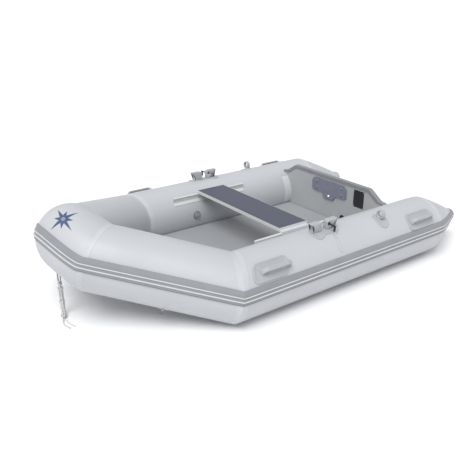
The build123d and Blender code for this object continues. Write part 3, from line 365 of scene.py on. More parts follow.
# ---- tubes -----------------------------------------------------------
# Air tubes of PVC-coated polyester fabric. Each panel is a tube cut on the slant and
# glued to the next; the skin is drawn in at every seam and a flat tape covers the joint.
# The port tube's middle line, from the stern seam over the bend and the bow seam to the nose.
AXIS = [Vector(p) for p in [
    (-1.05253, TUBE_Y, TUBE_R), (0.60447, TUBE_Y, TUBE_R), (1.19547, 0.178, 0.383), (1.26347, 0.0, 0.45),
]]
RUNS = [(b - a).normalized() for a, b in zip(AXIS, AXIS[1:])]
SEAM_NORMALS = [RUNS[0], RUNS[0] + RUNS[1], RUNS[1] + RUNS[2], Vector((0, -1, 0))]
PINCH = 0.0028            # how far a seam draws the skin in
PINCH_REACH = 0.032
PUCKER = 0.0007           # small folds that run out from a seam
PUCKER_REACH = 0.07
NOSE_FULLNESS = 0.4       # how far the nose's cloth keeps its direction past its two seams
NOSE_BACK = 0.020         # the round nose stands this far inside the corner of its two cylinders
NOSE_CREST = 35.0         # degrees above level where that is most
AROUND = 96
TAPE_T = 0.0013
TAPE_EDGE = 0.0001
PANELS = (("side", 0, 44), ("quarter", 1, 30))    # name, panel and steps along it


def mottled(name, pale, dark, roughness, grain, depth, clouds=5.0, metallic=0.0):
    """A surface of two close tones with a fine relief of that grain and depth, in metres."""
    material, tree, shader = new_material(name)
    spots = add_node(tree, "TexCoord")
    cloud = add_node(tree, "TexNoise", None,
                     {"Vector": spots.outputs["Object"], "Scale": clouds, "Detail": 4.0})
    two_tones(tree, cloud.outputs["Fac"], pale, dark)
    gloss = add_node(tree, "MapRange", None, {"Value": cloud.outputs["Fac"], "From Min": 0.3, "From Max": 0.7,
                                             "To Min": roughness - 0.05, "To Max": roughness + 0.07})
    fine = add_node(tree, "TexNoise", None,
                    {"Vector": spots.outputs["Object"], "Scale": 1 / grain, "Detail": 2.0})
    embossed(tree, fine.outputs["Fac"], 0.6, depth)
    tree.links.new(gloss.outputs["Result"], shader.inputs["Roughness"])
    shader.inputs["Metallic"].default_value = metallic
    return material


# Pale grey, half glossy; slow clouds of tone and a soft quilting of the cloth under air.
tube_fabric = mottled("half_gloss_pvc_fabric", "#c3c5c8", "#bbbdc1", 0.42, 0.012, 0.0006)
# The same cloth a shade paler, so that the tapes show as narrow bands.
tape_fabric = mottled("half_gloss_pvc_tape", "#c8cacd", "#c1c3c6", 0.44, 0.012, 0.0006)


def level_frame(run):
    """Outboard and up directions of a run whose outboard direction is level."""
    outboard = Vector((-run.y, run.x, 0)).normalized()
    return outboard, run.cross(outboard)


def spoke(panel, angle):
    """Direction out of a panel's middle line, `angle` degrees above outboard."""
    outboard, up = level_frame(RUNS[panel])
    return outboard * math.cos(math.radians(angle)) + up * math.sin(math.radians(angle))


def generator(panel, angle, radius):
    """The two ends of one straight line along a panel, where its seam planes cut it."""
    start, run = AXIS[panel] + spoke(panel, angle) * radius, RUNS[panel]
    return [
        start + run * ((AXIS[seam] - start).dot(SEAM_NORMALS[seam]) / run.dot(SEAM_NORMALS[seam]))
        for seam in (panel, panel + 1)
    ]


def drawn_in(near, angle):
    """How far the skin lies inside its full round at that distance from a seam."""
    turn = math.radians(angle)
    ripple = math.sin(13 * turn) + 0.6 * math.sin(29 * turn + 1.0)
    return PINCH * math.exp(-(near / PINCH_REACH) ** 2) + PUCKER * ripple * math.exp(-near / PUCKER_REACH)


def tube_skin(panel, share, angle, lift=0.0):
    """Point on the inflated skin of a port panel, `share` of the way along it."""
    start, end = generator(panel, angle, TUBE_R + lift)
    near = min(share, 1 - share) * (end - start).length
    return start.lerp(end, share) - spoke(panel, angle) * drawn_in(near, angle)


def carried(panel, angle):
    """The angle, in the next panel's frame, of a line that runs on over the seam."""
    across = generator(panel, angle, TUBE_R)[1] - AXIS[panel + 1]
    outboard, up = level_frame(RUNS[panel + 1])
    return math.degrees(math.atan2(across.dot(up), across.dot(outboard)))


def nose_skin(share, angle, lift=0.0):
    """Point on the nose, from its port seam (0) to its starboard seam (1)."""
    side = 1 if share <= 0.5 else -1
    along = 1 - abs(1 - 2 * share)
    start = generator(1, angle, TUBE_R + lift)[1]
    end = generator(2, carried(1, angle), TUBE_R + lift)[1]
    end.x -= NOSE_BACK * max(0.0, math.cos(math.radians(angle - NOSE_CREST)))
    pull = NOSE_FULLNESS * (end - start).length
    a, b = along, along * along
    c = b * along
    point = (start * (2 * c - 3 * b + 1) + RUNS[1] * pull * (c - 2 * b + a)
             + end * (3 * b - 2 * c) + Vector((0, -1, 0)) * pull * (c - b))
    near = along * (end - start).length
    point -= spoke(1, angle) * drawn_in(near, angle) * (1 - along) ** 2
    return Vector((point.x, side * point.y, point.z))


def eased(count):
    """Shares from 0 to 1 that crowd together at both ends."""
    return [(1 - math.cos(math.pi * i / count)) / 2 for i in range(count + 1)]


ANGLES = [360 * j / AROUND for j in range(AROUND)]


def settle(piece, slot_name, *nodes):
    """Lets a piece ride with the hull and stand for those CAD nodes; `slot_name` is not used."""
    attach(piece, "hull")
    if nodes:
        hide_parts(*nodes)


PANEL_NODES = {"side": "side_tube", "quarter": "bow_quarter"}
for place, side in SIDES.items():
    for label, panel, count in PANELS:
        node = PANEL_NODES[label]
        rows = [[tube_skin(panel, s, a) for a in ANGLES] for s in eased(count)]
        settle(lofted(f"{node}_skin_{place}", rows, [tube_fabric], side), "tube_fabric", f"{node}_{place}")
rows = [[nose_skin(s, a) for a in ANGLES] for s in [i / 32 for i in range(33)]]
settle(lofted("bow_nose_skin", rows, [tube_fabric]), "tube_fabric", "bow_nose")


def tape_point(reach, half, angle, seam):
    """Point of a seam tape at that distance past its seam; its edges lie on the skin."""
    lift = TAPE_EDGE if abs(reach) > half - 0.0005 else TAPE_T
    if reach <= 0:
        start, end = generator(seam - 1, angle, TUBE_R)
        return tube_skin(seam - 1, 1 + reach / (end - start).length, angle, lift)
    if seam == 2:
        start, end = generator(1, angle, TUBE_R)[1], generator(2, carried(1, angle), TUBE_R)[1]
        return nose_skin(reach / (end - start).length / 2, angle, lift)
    onward = carried(seam - 1, angle)
    start, end = generator(seam, onward, TUBE_R)
    return tube_skin(seam, reach / (end - start).length, onward, lift)


for place, side in SIDES.items():
    for label, seam, half in (("bend", 1, 0.034), ("nose", 2, 0.022)):
        steps = [-half, 0.001 - half] + [half * k / 8 for k in range(-7, 8)] + [half - 0.001, half]
        rows = [[tape_point(step, half, a, seam) for a in ANGLES] for step in steps]
        settle(lofted(f"seam_tape_{label}_{place}", rows, [tape_fabric], side, sharp=60), "tube_fabric")


# ---- stern cones -----------------------------------------------------
# Slanting cones of the same fabric that close the tubes behind the transom, glued on
# under a ring of tape and ending in a moulded blunt tip.
CONE_END = Vector((-1.43453, 0.598, 0.176))
CONE_END_R = 0.044
CONE_SWELL = 0.005        # how far air pressure rounds its sides
CONE_TAPE_STEPS = (-0.024, -0.023, -0.016, -0.008, 0.0, 0.008, 0.016, 0.023, 0.024)
OUT, UP = Vector((0, 1, 0)), Vector((0, 0, 1))


def cone_section(share):
    """Middle and radius of a cone's round, a share of the way to its end."""
    near = share * (CONE_END - AXIS[0]).length
    swell = CONE_SWELL * math.sin(math.pi * share) - PINCH * math.exp(-(near / PINCH_REACH) ** 2)
    return AXIS[0].lerp(CONE_END, share), TUBE_R + (CONE_END_R - TUBE_R) * share + swell


for place, side in SIDES.items():
    rows = []
    for share in [(i / 30) ** 1.4 for i in range(31)]:
        middle, radius = cone_section(share)
        rows.append(circle_row(middle, OUT, UP, radius, AROUND))
    for k in range(1, 11):
        turn = math.pi / 2 * min(k / 10, 0.995)
        middle = CONE_END - Vector((CONE_END_R * math.sin(turn), 0, 0))
        rows.append(circle_row(middle, OUT, UP, CONE_END_R * math.cos(turn), AROUND))
    cone = lofted(f"stern_cone_skin_{place}", rows, [tube_fabric], side)
    settle(cone, "tube_fabric", f"stern_cone_{place}")
    rows = []
    for reach in CONE_TAPE_STEPS:
        lift = TAPE_EDGE if abs(reach) == CONE_TAPE_STEPS[-1] else TAPE_T
        if reach < 0:
            middle, radius = cone_section(-reach / (CONE_END - AXIS[0]).length)
            rows.append(circle_row(middle, OUT, UP, radius + lift, AROUND))
        else:
            rows.append([tube_skin(0, reach / (AXIS[1] - AXIS[0]).length, a, lift) for a in ANGLES])
    settle(lofted(f"seam_tape_cone_{place}", rows, [tape_fabric], side, sharp=60), "tube_fabric")


# ---- rubbing strake --------------------------------------------------
# An extruded PVC rubbing strip glued round the hull: a grey flat, two raised pale ribs
# and a lower edge painted darker as shade. It wraps the cones' tips.
STRAKE_SPAN = 24.0        # degrees of the tube that it covers
STRAKE_MIDDLE = [11.5, 11.5, 16.0, 16.0]    # degrees above level at each seam
STRAKE_BASE = 0.007
STRAKE_EDGE = 0.035       # share of the width over which its edges round off
STRAKE_RIB = 0.005
STRAKE_SUNK = -0.004      # its back lies this far inside the skin
RIB_MIDDLES = (0.26, 0.53)
RIB_HALF = 0.044
LIP = 0.05                # share of the width that the dark lower lip takes
STRAKE_COLUMNS = 72
CONE_BAND_HALF = 0.040
CONE_BAND_Z = 0.178
CONE_THIN = 0.45          # the strip is pressed this much thinner where it ends
WRAP = 133.0              # degrees round the cone's tip

# Mid grey and rather matt, scuffed a little.
strake_grey = mottled("matt_grey_pvc_extrusion", "#96989c", "#8b8d92", 0.55, 0.006, 0.0004, 9.0)
# The ribs are a paler inlay of the same plastic.
strake_pale = mottled("satin_pale_pvc_rib", "#d3d3d3", "#cacacb", 0.48, 0.006, 0.0003, 9.0)
# The lower lip is painted darker, as shade under the strip's lower edge.
strake_lip_shade = mottled("matt_grey_pvc_lip_painted_shade", "#66686d", "#5e6065", 0.6, 0.006, 0.0004, 9.0)


def strake_rise(u):
    """Thickness of the strip, a share of the way up from its lower edge."""
    edge = min(u, 1 - u)
    rise = STRAKE_BASE * math.sqrt(1 - (1 - min(edge / STRAKE_EDGE, 1.0)) ** 2)
    for middle in RIB_MIDDLES:
        across = abs(u - middle) / RIB_HALF
        if across < 1:
            rise += STRAKE_RIB * (1 - across**4)
    return rise


SHARES_UP = [j / STRAKE_COLUMNS for j in range(STRAKE_COLUMNS + 1)]
STRAKE_FACES = []
for j in range(STRAKE_COLUMNS):
    middle_u = (SHARES_UP[j] + SHARES_UP[j + 1]) / 2
    in_rib = any(abs(middle_u - middle) < RIB_HALF for middle in RIB_MIDDLES)
    STRAKE_FACES.append(1 if in_rib else 2 if middle_u < LIP else 0)
STRAKE_FACES += [0, 0, 2]


def frame_drift(panel):
    """Degrees by which a line that keeps its angle turns against the next panel's frame."""
    return carried(panel, STRAKE_MIDDLE[panel + 1]) - STRAKE_MIDDLE[panel + 1]


def strake_row(skin, middle):
    """Closed section of the strip on a skin function of (angle, lift)."""
    row = [skin(middle + STRAKE_SPAN * (u - 0.5), strake_rise(u)) for u in SHARES_UP]
    return row + [skin(middle + STRAKE_SPAN * (u - 0.5), STRAKE_SUNK) for u in (1.0, 0.0)]


def strake_ends(panel):
    """Angles of the strip's middle at the two ends of a panel."""
    start = STRAKE_MIDDLE[panel] + (0.0 if panel == 0 else frame_drift(panel - 1) / 2)
    return start, STRAKE_MIDDLE[panel + 1] - frame_drift(panel) / 2


def strake_strip(part, rows, side=1):
    """One length of the strip over those sections."""
    skins = [strake_grey, strake_pale, strake_lip_shade]
    strip = lofted(f"strake_strip_{part}", rows, skins, side, capped=True, columns=STRAKE_FACES)
    settle(strip, "strake_rubber", f"strake_{part}")


for place, side in SIDES.items():
    for label, panel, count in PANELS:
        first, last = strake_ends(panel)
        rows = []
        for share in eased(count):
            middle = first + (last - first) * share
            rows.append(strake_row(lambda a, lift: tube_skin(panel, share, a, lift), middle))
        strake_strip(f"{label}_{place}", rows, side)

rows = []
for share in [i / 40 for i in range(41)]:
    along = 1 - abs(1 - 2 * share)
    middle = STRAKE_MIDDLE[2] - frame_drift(1) * (1 + along) / 2
    rows.append(strake_row(lambda a, lift: nose_skin(share, a, lift), middle))
strake_strip("nose", rows)

BAND_LOW = TUBE_R * (1 + math.sin(math.radians(STRAKE_MIDDLE[0] - STRAKE_SPAN / 2)))
BAND_HIGH = TUBE_R * (1 + math.sin(math.radians(STRAKE_MIDDLE[0] + STRAKE_SPAN / 2)))


def cone_band(share, azimuth, u, lift):
    """Point of the strip on a cone: along it to its end, then round the tip."""
    middle, radius = cone_section(share)
    low = BAND_LOW + (CONE_BAND_Z - CONE_BAND_HALF - BAND_LOW) * share
    high = BAND_HIGH + (CONE_BAND_Z + CONE_BAND_HALF - BAND_HIGH) * share
    level = math.asin(max(-0.96, min(0.96, (low + (high - low) * u - middle.z) / radius)))
    turn = math.radians(azimuth)
    ray = Vector((-math.sin(turn) * math.cos(level), math.cos(turn) * math.cos(level), math.sin(level)))
    return middle + ray * (radius + lift)


CONE_STEPS = [((i / 24) ** 1.2, 0) for i in range(25)] + [(1, WRAP * i / 22) for i in range(1, 23)]
for place, side in SIDES.items():
    rows = []
    for share, azimuth in CONE_STEPS:
        slim = 1 - CONE_THIN * share
        row = [cone_band(share, azimuth, u, strake_rise(u) * slim) for u in SHARES_UP]
        rows.append(row + [cone_band(share, azimuth, u, STRAKE_SUNK) for u in (1.0, 0.0)])
    strake_strip(f"cone_{place}", rows, side)


# ---- bottom, keel and bulkheads --------------------------------------
# A sheet of heavier fabric glued under the tubes, with an air keel between it and the
# floor; the fabric walls inside the tubes are never seen.

# Darker grey than the tubes and more matt, with a coarser cloth showing through.
bottom_fabric = mottled("matt_grey_bottom_fabric", "#a9abaf", "#9c9ea3", 0.55, 0.009, 0.0007, 6.0)


def paint(material, *names):
    """Gives CAD nodes that stay in view their finish."""
    for name in names:
        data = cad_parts[name].data
        data.materials.clear()
        data.materials.append(material)


def tube_inside(x, z):
    """Half breadth between the tubes at that station and height."""
    side = TUBE_Y - math.sqrt(TUBE_R**2 - (z - TUBE_R) ** 2)
    run, foot = RUNS[1], AXIS[1]
    dx, dz = x - foot.x, z - foot.z
    along = dx * run.x + dz * run.z
    a, b = 1 - run.y**2, -2 * run.y * along
    c = dx * dx + dz * dz - along**2 - TUBE_R**2
    inside = b * b - 4 * a * c
    if inside <= 0:
        return side
    return min(side, foot.y + (-b - math.sqrt(inside)) / (2 * a))


SHEET = 0.0015
SHEET_IN = 0.001          # its edges run this far into the tubes' skin
SHEET_EDGE_Z = 0.042      # height where the sheet meets the tubes
SHEET_DEPTH = 0.034       # how far the keel lies under that
SHEET_NOSE_DEPTH = 0.006
SHEET_BACK, SHEET_BEND, SHEET_NOSE = -0.79753, 0.60447, 1.16547
KEEL_ROUND = 0.040        # half width over which the sheet bends round the keel
KEEL_BACK = -0.76953
KEEL_R, KEEL_Z = 0.027, 0.03677
KEEL_GATHER, KEEL_GATHER_REACH = 0.35, 0.020


def sheet_row(x, edge, depth):
    """Closed section of the sheet: its top from port to starboard, then its underside."""
    half = tube_inside(x, edge) + SHEET_IN
    full = math.hypot(half, KEEL_ROUND) - KEEL_ROUND
    row = []
    for k in range(-24, 25):
        y = half * k / 24
        row.append(Vector((x, y, edge - depth + depth * (math.hypot(y, KEEL_ROUND) - KEEL_ROUND) / full)))
    return [p + UP * SHEET for p in row] + row[::-1]


rows = [sheet_row(SHEET_BACK + (SHEET_BEND - SHEET_BACK) * i / 40, SHEET_EDGE_Z, SHEET_DEPTH)
        for i in range(41)]
settle(lofted("bottom_sheet", rows, [bottom_fabric], capped=True), "bottom_fabric", "bottom_skin")
rows = []
for share in [i / 24 for i in range(25)]:
    x = SHEET_BEND + (SHEET_NOSE - SHEET_BEND) * share
    edge = SHEET_EDGE_Z + (x - SHEET_BEND) * RUNS[1].z / RUNS[1].x
    rows.append(sheet_row(x, edge, SHEET_DEPTH + (SHEET_NOSE_DEPTH - SHEET_DEPTH) * share))
settle(lofted("bow_sheet", rows, [bottom_fabric], capped=True), "bottom_fabric", "bow_skin")

# The keel's ends draw in where its fabric is gathered and glued.
rows = []
for share in eased(40):
    x = KEEL_BACK + (SHEET_BEND - KEEL_BACK) * share
    near = min(x - KEEL_BACK, SHEET_BEND - x)
    drawn = 1 - KEEL_GATHER * max(0.0, 1 - near / KEEL_GATHER_REACH) ** 2
    rows.append(circle_row(Vector((x, 0, KEEL_Z)), OUT, UP, KEEL_R * drawn, 40))
settle(lofted("keel_skin", rows, [tube_fabric], capped=True), "tube_fabric", "keel_tube")
paint(tube_fabric, "tube_bulkheads")


# ---- air floor -------------------------------------------------------
# A flat drop-stitch mat, 55 mm thick, lying between the tubes. Its edges are rounded
# and its top has a moulded non-slip pattern.
FLOOR_BACK = -0.76953
FLOOR_FRONT = 0.68682
FLOOR_GAP = 0.0008        # to the tubes
FLOOR_END_GAP = 0.0005
# Its side from the top down: height, and how far the corner is drawn in there.
FLOOR_SIDE = ((0.125, 0.012), (0.1242, 0.006), (0.121, 0.0022), (0.116, 0.0004), (0.105, 0.0),
              (0.09, 0.0), (0.078, 0.0005), (0.073, 0.003), (0.0705, 0.008))
FLOOR_MIDDLE_Z = 0.0975
# Its two ends: how far from the end, and how much the section is drawn in there.
FLOOR_ENDS = ((0.0, 0.010), (0.002, 0.005), (0.006, 0.0015), (0.012, 0.0))
FLOOR_STRAIGHT = 0.02     # the even part starts this far from each end
NON_SLIP_PITCH = 0.008    # drawn coarser than real so that it shows from a few metres

# Light grey with a small diamond relief; the hollows between the diamonds are painted darker, as shade in the
# recesses.
floor_vinyl, tree, shader = new_material("matt_grey_non_slip_pvc")
spots = add_node(tree, "TexCoord")
turned = add_node(tree, "Mapping", None,
                  {"Vector": spots.outputs["Object"], "Rotation": (0, 0, math.radians(45))})
grid = add_node(tree, "TexVoronoi", {"distance": "CHEBYCHEV"},
                {"Vector": turned.outputs["Vector"], "Scale": 1 / NON_SLIP_PITCH, "Randomness": 0.0})
cloud = add_node(tree, "TexNoise", None, {"Vector": spots.outputs["Object"], "Scale": 4.0, "Detail": 4.0})
tone = two_tones(tree, cloud.outputs["Fac"], "#b0b2b4", "#a3a5a8")
# Painted shade: the colour darkens towards the diamonds' edges, where the relief sinks.
hollow_shade = add_node(tree, "MixRGB", None, {"Fac": grid.outputs["Distance"], "Color1": tone.outputs["Color"],
                                         "Color2": linear("#8b8d91")})
tree.links.new(hollow_shade.outputs["Color"], shader.inputs["Base Color"])
embossed(tree, grid.outputs["Distance"], 0.5, 0.001, invert=True)
shader.inputs["Roughness"].default_value = 0.6


def floor_row(x, inset):
    """Closed section of the mat; `inset` rounds its two ends."""
    half = []
    for z, tuck in FLOOR_SIDE:
        lift = inset * (1 if z < FLOOR_MIDDLE_Z else -1)
        half.append((tube_inside(x, z) - tuck - FLOOR_GAP - inset * 0.3, z + lift))
    top, low = half[0], half[-1]
    spread = [(top[0] * k / 12, top[1]) for k in range(12)]
    under = [(low[0] * k / 6, low[1]) for k in range(5, -1, -1)]
    starboard = spread + half + under
    port = [(-y, z) for y, z in reversed(starboard[1:-1])]
    return [Vector((x, y, z)) for y, z in starboard + port]


rows = [floor_row(FLOOR_BACK + FLOOR_END_GAP + back, inset) for back, inset in FLOOR_ENDS]
even = FLOOR_FRONT - FLOOR_BACK - 2 * FLOOR_STRAIGHT
rows += [floor_row(FLOOR_BACK + FLOOR_STRAIGHT + even * i / 60, 0.0) for i in range(61)]
rows += [floor_row(FLOOR_FRONT - back, inset) for back, inset in reversed(FLOOR_ENDS)]
settle(lofted("floor_mat", rows, [floor_vinyl], capped=True, sharp=50), "floor_fabric", "air_floor")


# ---- transom ---------------------------------------------------------
# Marine plywood under a grey-white coat, edged with a rubber channel and held to the
# tubes by glued flaps. Two pads take the motor's clamps; bolts go through all three.
TRANSOM_FRONT = -0.76953
PLATE_T = 0.0012
RIVET_R = 0.003
RIVET_FLATTEN = 0.6
RIVET_YS, RIVET_ZS = (0.256, 0.340), (0.293, 0.407)
FLAP_BACK, FLAP_FRONT = -0.76953, -0.69453
FLAP_FROM, FLAP_TO = 136.5, 199.3    # degrees above outboard
FLAP_T = 0.0025
FLAP_SUNK = -0.001
FLAP_THINS = [1, 1, 1, 1, 1, 1, 0.9, 0.6, 0.1]    # thickness from the board forward
FLAP_COLUMNS = 32

# Grey-white brushed paint, a little orange-peeled.
transom_coat = mottled("satin_grey_white_paint", "#b9bbbb", "#adafb0", 0.38, 0.010, 0.0005, 7.0)
# Off-cuts of the hull fabric, paler than the tubes, so that the glued edge shows.
flap_fabric = mottled("half_gloss_pvc_flap", "#d4d6d8", "#cdcfd2", 0.44, 0.012, 0.0006)
# Mid-grey rubber, matt.
trim_rubber = mottled("matt_grey_rubber", "#929498", "#85878c", 0.6, 0.004, 0.0003, 12.0)
# Blue-grey moulded polyurethane with a coarse pebbled grain that gives the clamps grip.
pad_rubber = mottled("pebbled_blue_grey_polyurethane", "#8b8d9b", "#76788b", 0.55, 0.005, 0.0016, 40.0)
# Black anodised plate without any lettering.
plate_finish = mottled("satin_black_anodised_plate", "#2b2b2d", "#232325", 0.35, 0.003, 0.0001, 20.0)
# Polished stainless steel with the faintest brushing.
stainless = mottled("polished_stainless_steel", "#d3d3d1", "#c9c9c8", 0.20, 0.002, 0.00005, 60.0, 1.0)


def ease_edges(width, *names):
    """Welds a CAD node's split vertices, then rounds its hard edges."""
    for name in names:
        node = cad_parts[name]
        weld = node.modifiers.new("weld", "WELD")
        weld.merge_threshold = 0.00002
        bevel = node.modifiers.new("eased", "BEVEL")
        bevel.width = width
        bevel.segments = 3
        bevel.limit_method = "ANGLE"
        bevel.angle_limit = math.radians(40)
        bevel.harden_normals = True


def side_skin(share, angle, lift):
    """Point on or over a side tube's skin."""
    return tube_skin(0, share, angle, lift)


def side_share(x):
    """Share of the way along a side tube at that station."""
    return (x - AXIS[0].x) / (AXIS[1].x - AXIS[0].x)


paint(transom_coat, "transom_board")
paint(trim_rubber, "transom_trim")

flap_angles = [FLAP_FROM + (FLAP_TO - FLAP_FROM) * i / FLAP_COLUMNS for i in range(FLAP_COLUMNS + 1)]
for place, side in SIDES.items():
    rows = []
    for k, thin in enumerate(FLAP_THINS):
        share = side_share(FLAP_BACK + (FLAP_FRONT - FLAP_BACK) * k / (len(FLAP_THINS) - 1))
        row = [side_skin(share, a, FLAP_T * thin * min(1, 0.1 + min(i, FLAP_COLUMNS - i) / 2))
               for i, a in enumerate(flap_angles)]
        rows.append(row + [side_skin(share, a, FLAP_SUNK) for a in reversed(flap_angles)])
    flap = lofted(f"transom_flap_{place}", rows, [flap_fabric], side, capped=True)
    settle(flap, "tube_fabric", "transom_flaps")

paint(pad_rubber, "motor_pad_inner", "motor_pad_outer")
paint(plate_finish, "capacity_plate")
paint(stainless, "motor_pad_bolts")
# The four outer bolts wear caps in the pad's colour; the one in the tab is bare.
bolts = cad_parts["motor_pad_bolts"].data
bolts.materials.append(pad_rubber)
for polygon in bolts.polygons:
    outer = abs(polygon.center.y) > 0.08 and polygon.center.x > TRANSOM_FRONT
    polygon.material_index = int(outer)
ease_edges(0.0015, "transom_trim", "motor_pad_outer")
ease_edges(0.0004, "capacity_plate")

for count, (y, z) in enumerate([(y, z) for y in RIVET_YS for z in RIVET_ZS]):
    rows = []
    for turn in [math.pi / 2 * k / 6.05 for k in range(7)]:
        middle = Vector((TRANSOM_FRONT + PLATE_T + RIVET_R * RIVET_FLATTEN * math.sin(turn), y, z))
        rows.append(circle_row(middle, OUT, UP, RIVET_R * math.cos(turn), 20))
    settle(lofted(f"plate_rivet_{count}", rows, [stainless], capped=True, sharp=80), "stainless")

# Drain: a moulded flange with a push-in bung, in black nylon with a soft shine.
drain_plastic = mottled("satin_black_nylon", "#2c2d30", "#232427", 0.4, 0.003, 0.0002, 20.0)
paint(drain_plastic, "drain_flange", "drain_plug")
ease_edges(0.0008, "drain_flange", "drain_plug")


# ---- seat ------------------------------------------------------------
# A painted plywood thwart with pale edge bands, screwed to two aluminium channels
# that slide on beads along the rails glued inside the tubes.
GRAIN_STRETCH = (60, 4, 60)    # the brush marks run along the board

# Dark slate blue paint, satin, with a faint brush grain.
seat_paint, tree, shader = new_material("satin_slate_blue_paint")
spots = add_node(tree, "TexCoord")
stretched = add_node(tree, "Mapping", None, {"Vector": spots.outputs["Object"], "Scale": GRAIN_STRETCH})
grain = add_node(tree, "TexNoise", None, {"Vector": stretched.outputs["Vector"], "Scale": 3.0, "Detail": 5.0})
two_tones(tree, grain.outputs["Fac"], "#484c5e", "#3e4253")
embossed(tree, grain.outputs["Fac"], 0.4, 0.0004)
shader.inputs["Roughness"].default_value = 0.42
shader.inputs["Coat Weight"].default_value = 0.2
shader.inputs["Coat Roughness"].default_value = 0.25

# Off-white plastic of the edge bands and rails, slightly glossy.
pale_plastic = mottled("satin_off_white_pvc", "#dddedd", "#d2d4d3", 0.42, 0.008, 0.0003, 8.0)
# Aluminium under a pale powder coat.
powder_coat = mottled("pale_powder_coat", "#d6d8d9", "#cccecf", 0.5, 0.002, 0.0001, 30.0)
paint(seat_paint, "seat_board")
paint(pale_plastic, "seat_edging", "seat_rail_port", "seat_rail_starboard")
paint(powder_coat, "seat_channels")
# The board's sawn ends are sealed in the edge bands' off-white.
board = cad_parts["seat_board"].data
board.materials.append(pale_plastic)
for polygon in board.polygons:
    polygon.material_index = int(abs(polygon.normal.y) > 0.9)
paint(stainless, "seat_screws")
ease_edges(0.0012, "seat_edging")
ease_edges(0.0006, "seat_channels", "seat_screws")


# ---- carrying handles ------------------------------------------------
# Moulded rubber: a rimmed pad with a dished middle that is glued to the tube, and a
# ribbed grip standing on two flared feet.
HANDLE_X = {"fore": 0.41747, "aft": -0.84753}
HANDLE_ANGLE = 40.5
HANDLE_HALF = (0.126, 0.060)
HANDLE_CORNER = 0.040
GRIP_HALF = (0.0130, 0.0065)    # across the tube, and thick
GRIP_END = 0.100
GRIP_FOOT = 0.030         # radius of the curve from each foot into the bar
GRIP_LOW = 0.004          # the feet start this far above the skin
GRIP_HEIGHT = 0.0405
GRIP_FLARE = (0.010, 0.004)
GRIP_RIDGES = 5
GRIP_RIDGE = 0.0009
# From a moulding's edge inwards: how far in, and how high above the skin.
RIM = [(0.0, 0.0), (0.0, 0.004), (0.0008, 0.0058), (0.0028, 0.0072), (0.0055, 0.008), (0.009, 0.008),
       (0.0115, 0.0072), (0.0135, 0.0055), (0.0165, 0.0045)]

# Grey rubber, matt, with a fine moulded grain.
fitting_rubber = mottled("matt_grey_moulded_rubber", "#b5b7b9", "#aaacaf", 0.52, 0.003, 0.0003, 14.0)


def rounded_box(half_a, half_b, corner, sides=10, arc=8):
    """Rounded rectangle, counter-clockwise, with its straight sides cut into equal steps."""
    flat_a, flat_b = half_a - corner, half_b - corner
    loop = []
    for quarter, (a, b) in enumerate(((1, 1), (-1, 1), (-1, -1), (1, -1))):
        for k in range(arc + 1):
            turn = math.radians(90 * quarter + 90 * k / arc)
            loop.append((a * flat_a + corner * math.cos(turn), b * flat_b + corner * math.sin(turn)))
    filled = []
    for (a, b), (c, d) in zip(loop, loop[1:] + loop[:1]):
        count = sides if math.hypot(c - a, d - b) > corner * 0.4 else 1
        filled += [(a + (c - a) * k / count, b + (d - b) * k / count) for k in range(count)]
    return filled


def inset_loop(loop, depth):
    """Moves a counter-clockwise outline inwards."""
    moved = []
    for i, (a, b) in enumerate(loop):
        before, after = loop[i - 1], loop[(i + 1) % len(loop)]
        run = Vector((after[0] - before[0], after[1] - before[1]))
        run.normalize()
        moved.append((a - run.y * depth, b + run.x * depth))
    return moved


def glued_pad(name, skin, spot, outline, steps, materials, side=1):
    """A moulding on a skin function of (share, angle, lift) about a spot of it.

    `outline` is in metres along the tube and across it; `steps` are insets and
    heights from its edge inwards.
    """
    share, angle = spot
    per_share = (skin(share + 0.001, angle, 0) - skin(share - 0.001, angle, 0)).length / 0.002
    per_degree = (skin(share, angle + 0.5, 0) - skin(share, angle - 0.5, 0)).length
    rings = [(inset_loop(outline, depth), height) for depth, height in steps]
    inner, height = rings[-1]
    mid_a, mid_b = (sum(p[k] for p in inner) / len(inner) for k in (0, 1))
    for shrink in (0.8, 0.6, 0.4, 0.2, 0.05):
        ring = [(mid_a + (a - mid_a) * shrink, mid_b + (b - mid_b) * shrink) for a, b in inner]
        rings.append((ring, height))
    rows = [[skin(share + a / per_share, angle - b / per_degree, height) for a, b in ring]
            for ring, height in rings]
    piece = lofted(name, rows, materials, side, sharp=50)
    work = bmesh.new()
    work.from_mesh(piece.data)
    work.verts.ensure_lookup_table()
    work.faces.new(work.verts[-len(outline):]).smooth = True
    bmesh.ops.recalc_face_normals(work, faces=work.faces)
    work.to_mesh(piece.data)
    work.free()
    return piece


AHEAD = Vector((1, 0, 0))


def side_spot(x, angle, height):
    """Point over a side tube's full round, with the directions out of it and across it."""
    outward = spoke(0, angle)
    return Vector((x, TUBE_Y, TUBE_R)) + outward * (TUBE_R + height), outward, outward.cross(AHEAD)


def path_runs(path):
    """Each point of a path in a plane, with the path's direction there."""
    for i, (a, h) in enumerate(path):
        before, after = path[max(i - 1, 0)], path[min(i + 1, len(path) - 1)]
        yield a, h, Vector((after[0] - before[0], after[1] - before[1])).normalized()


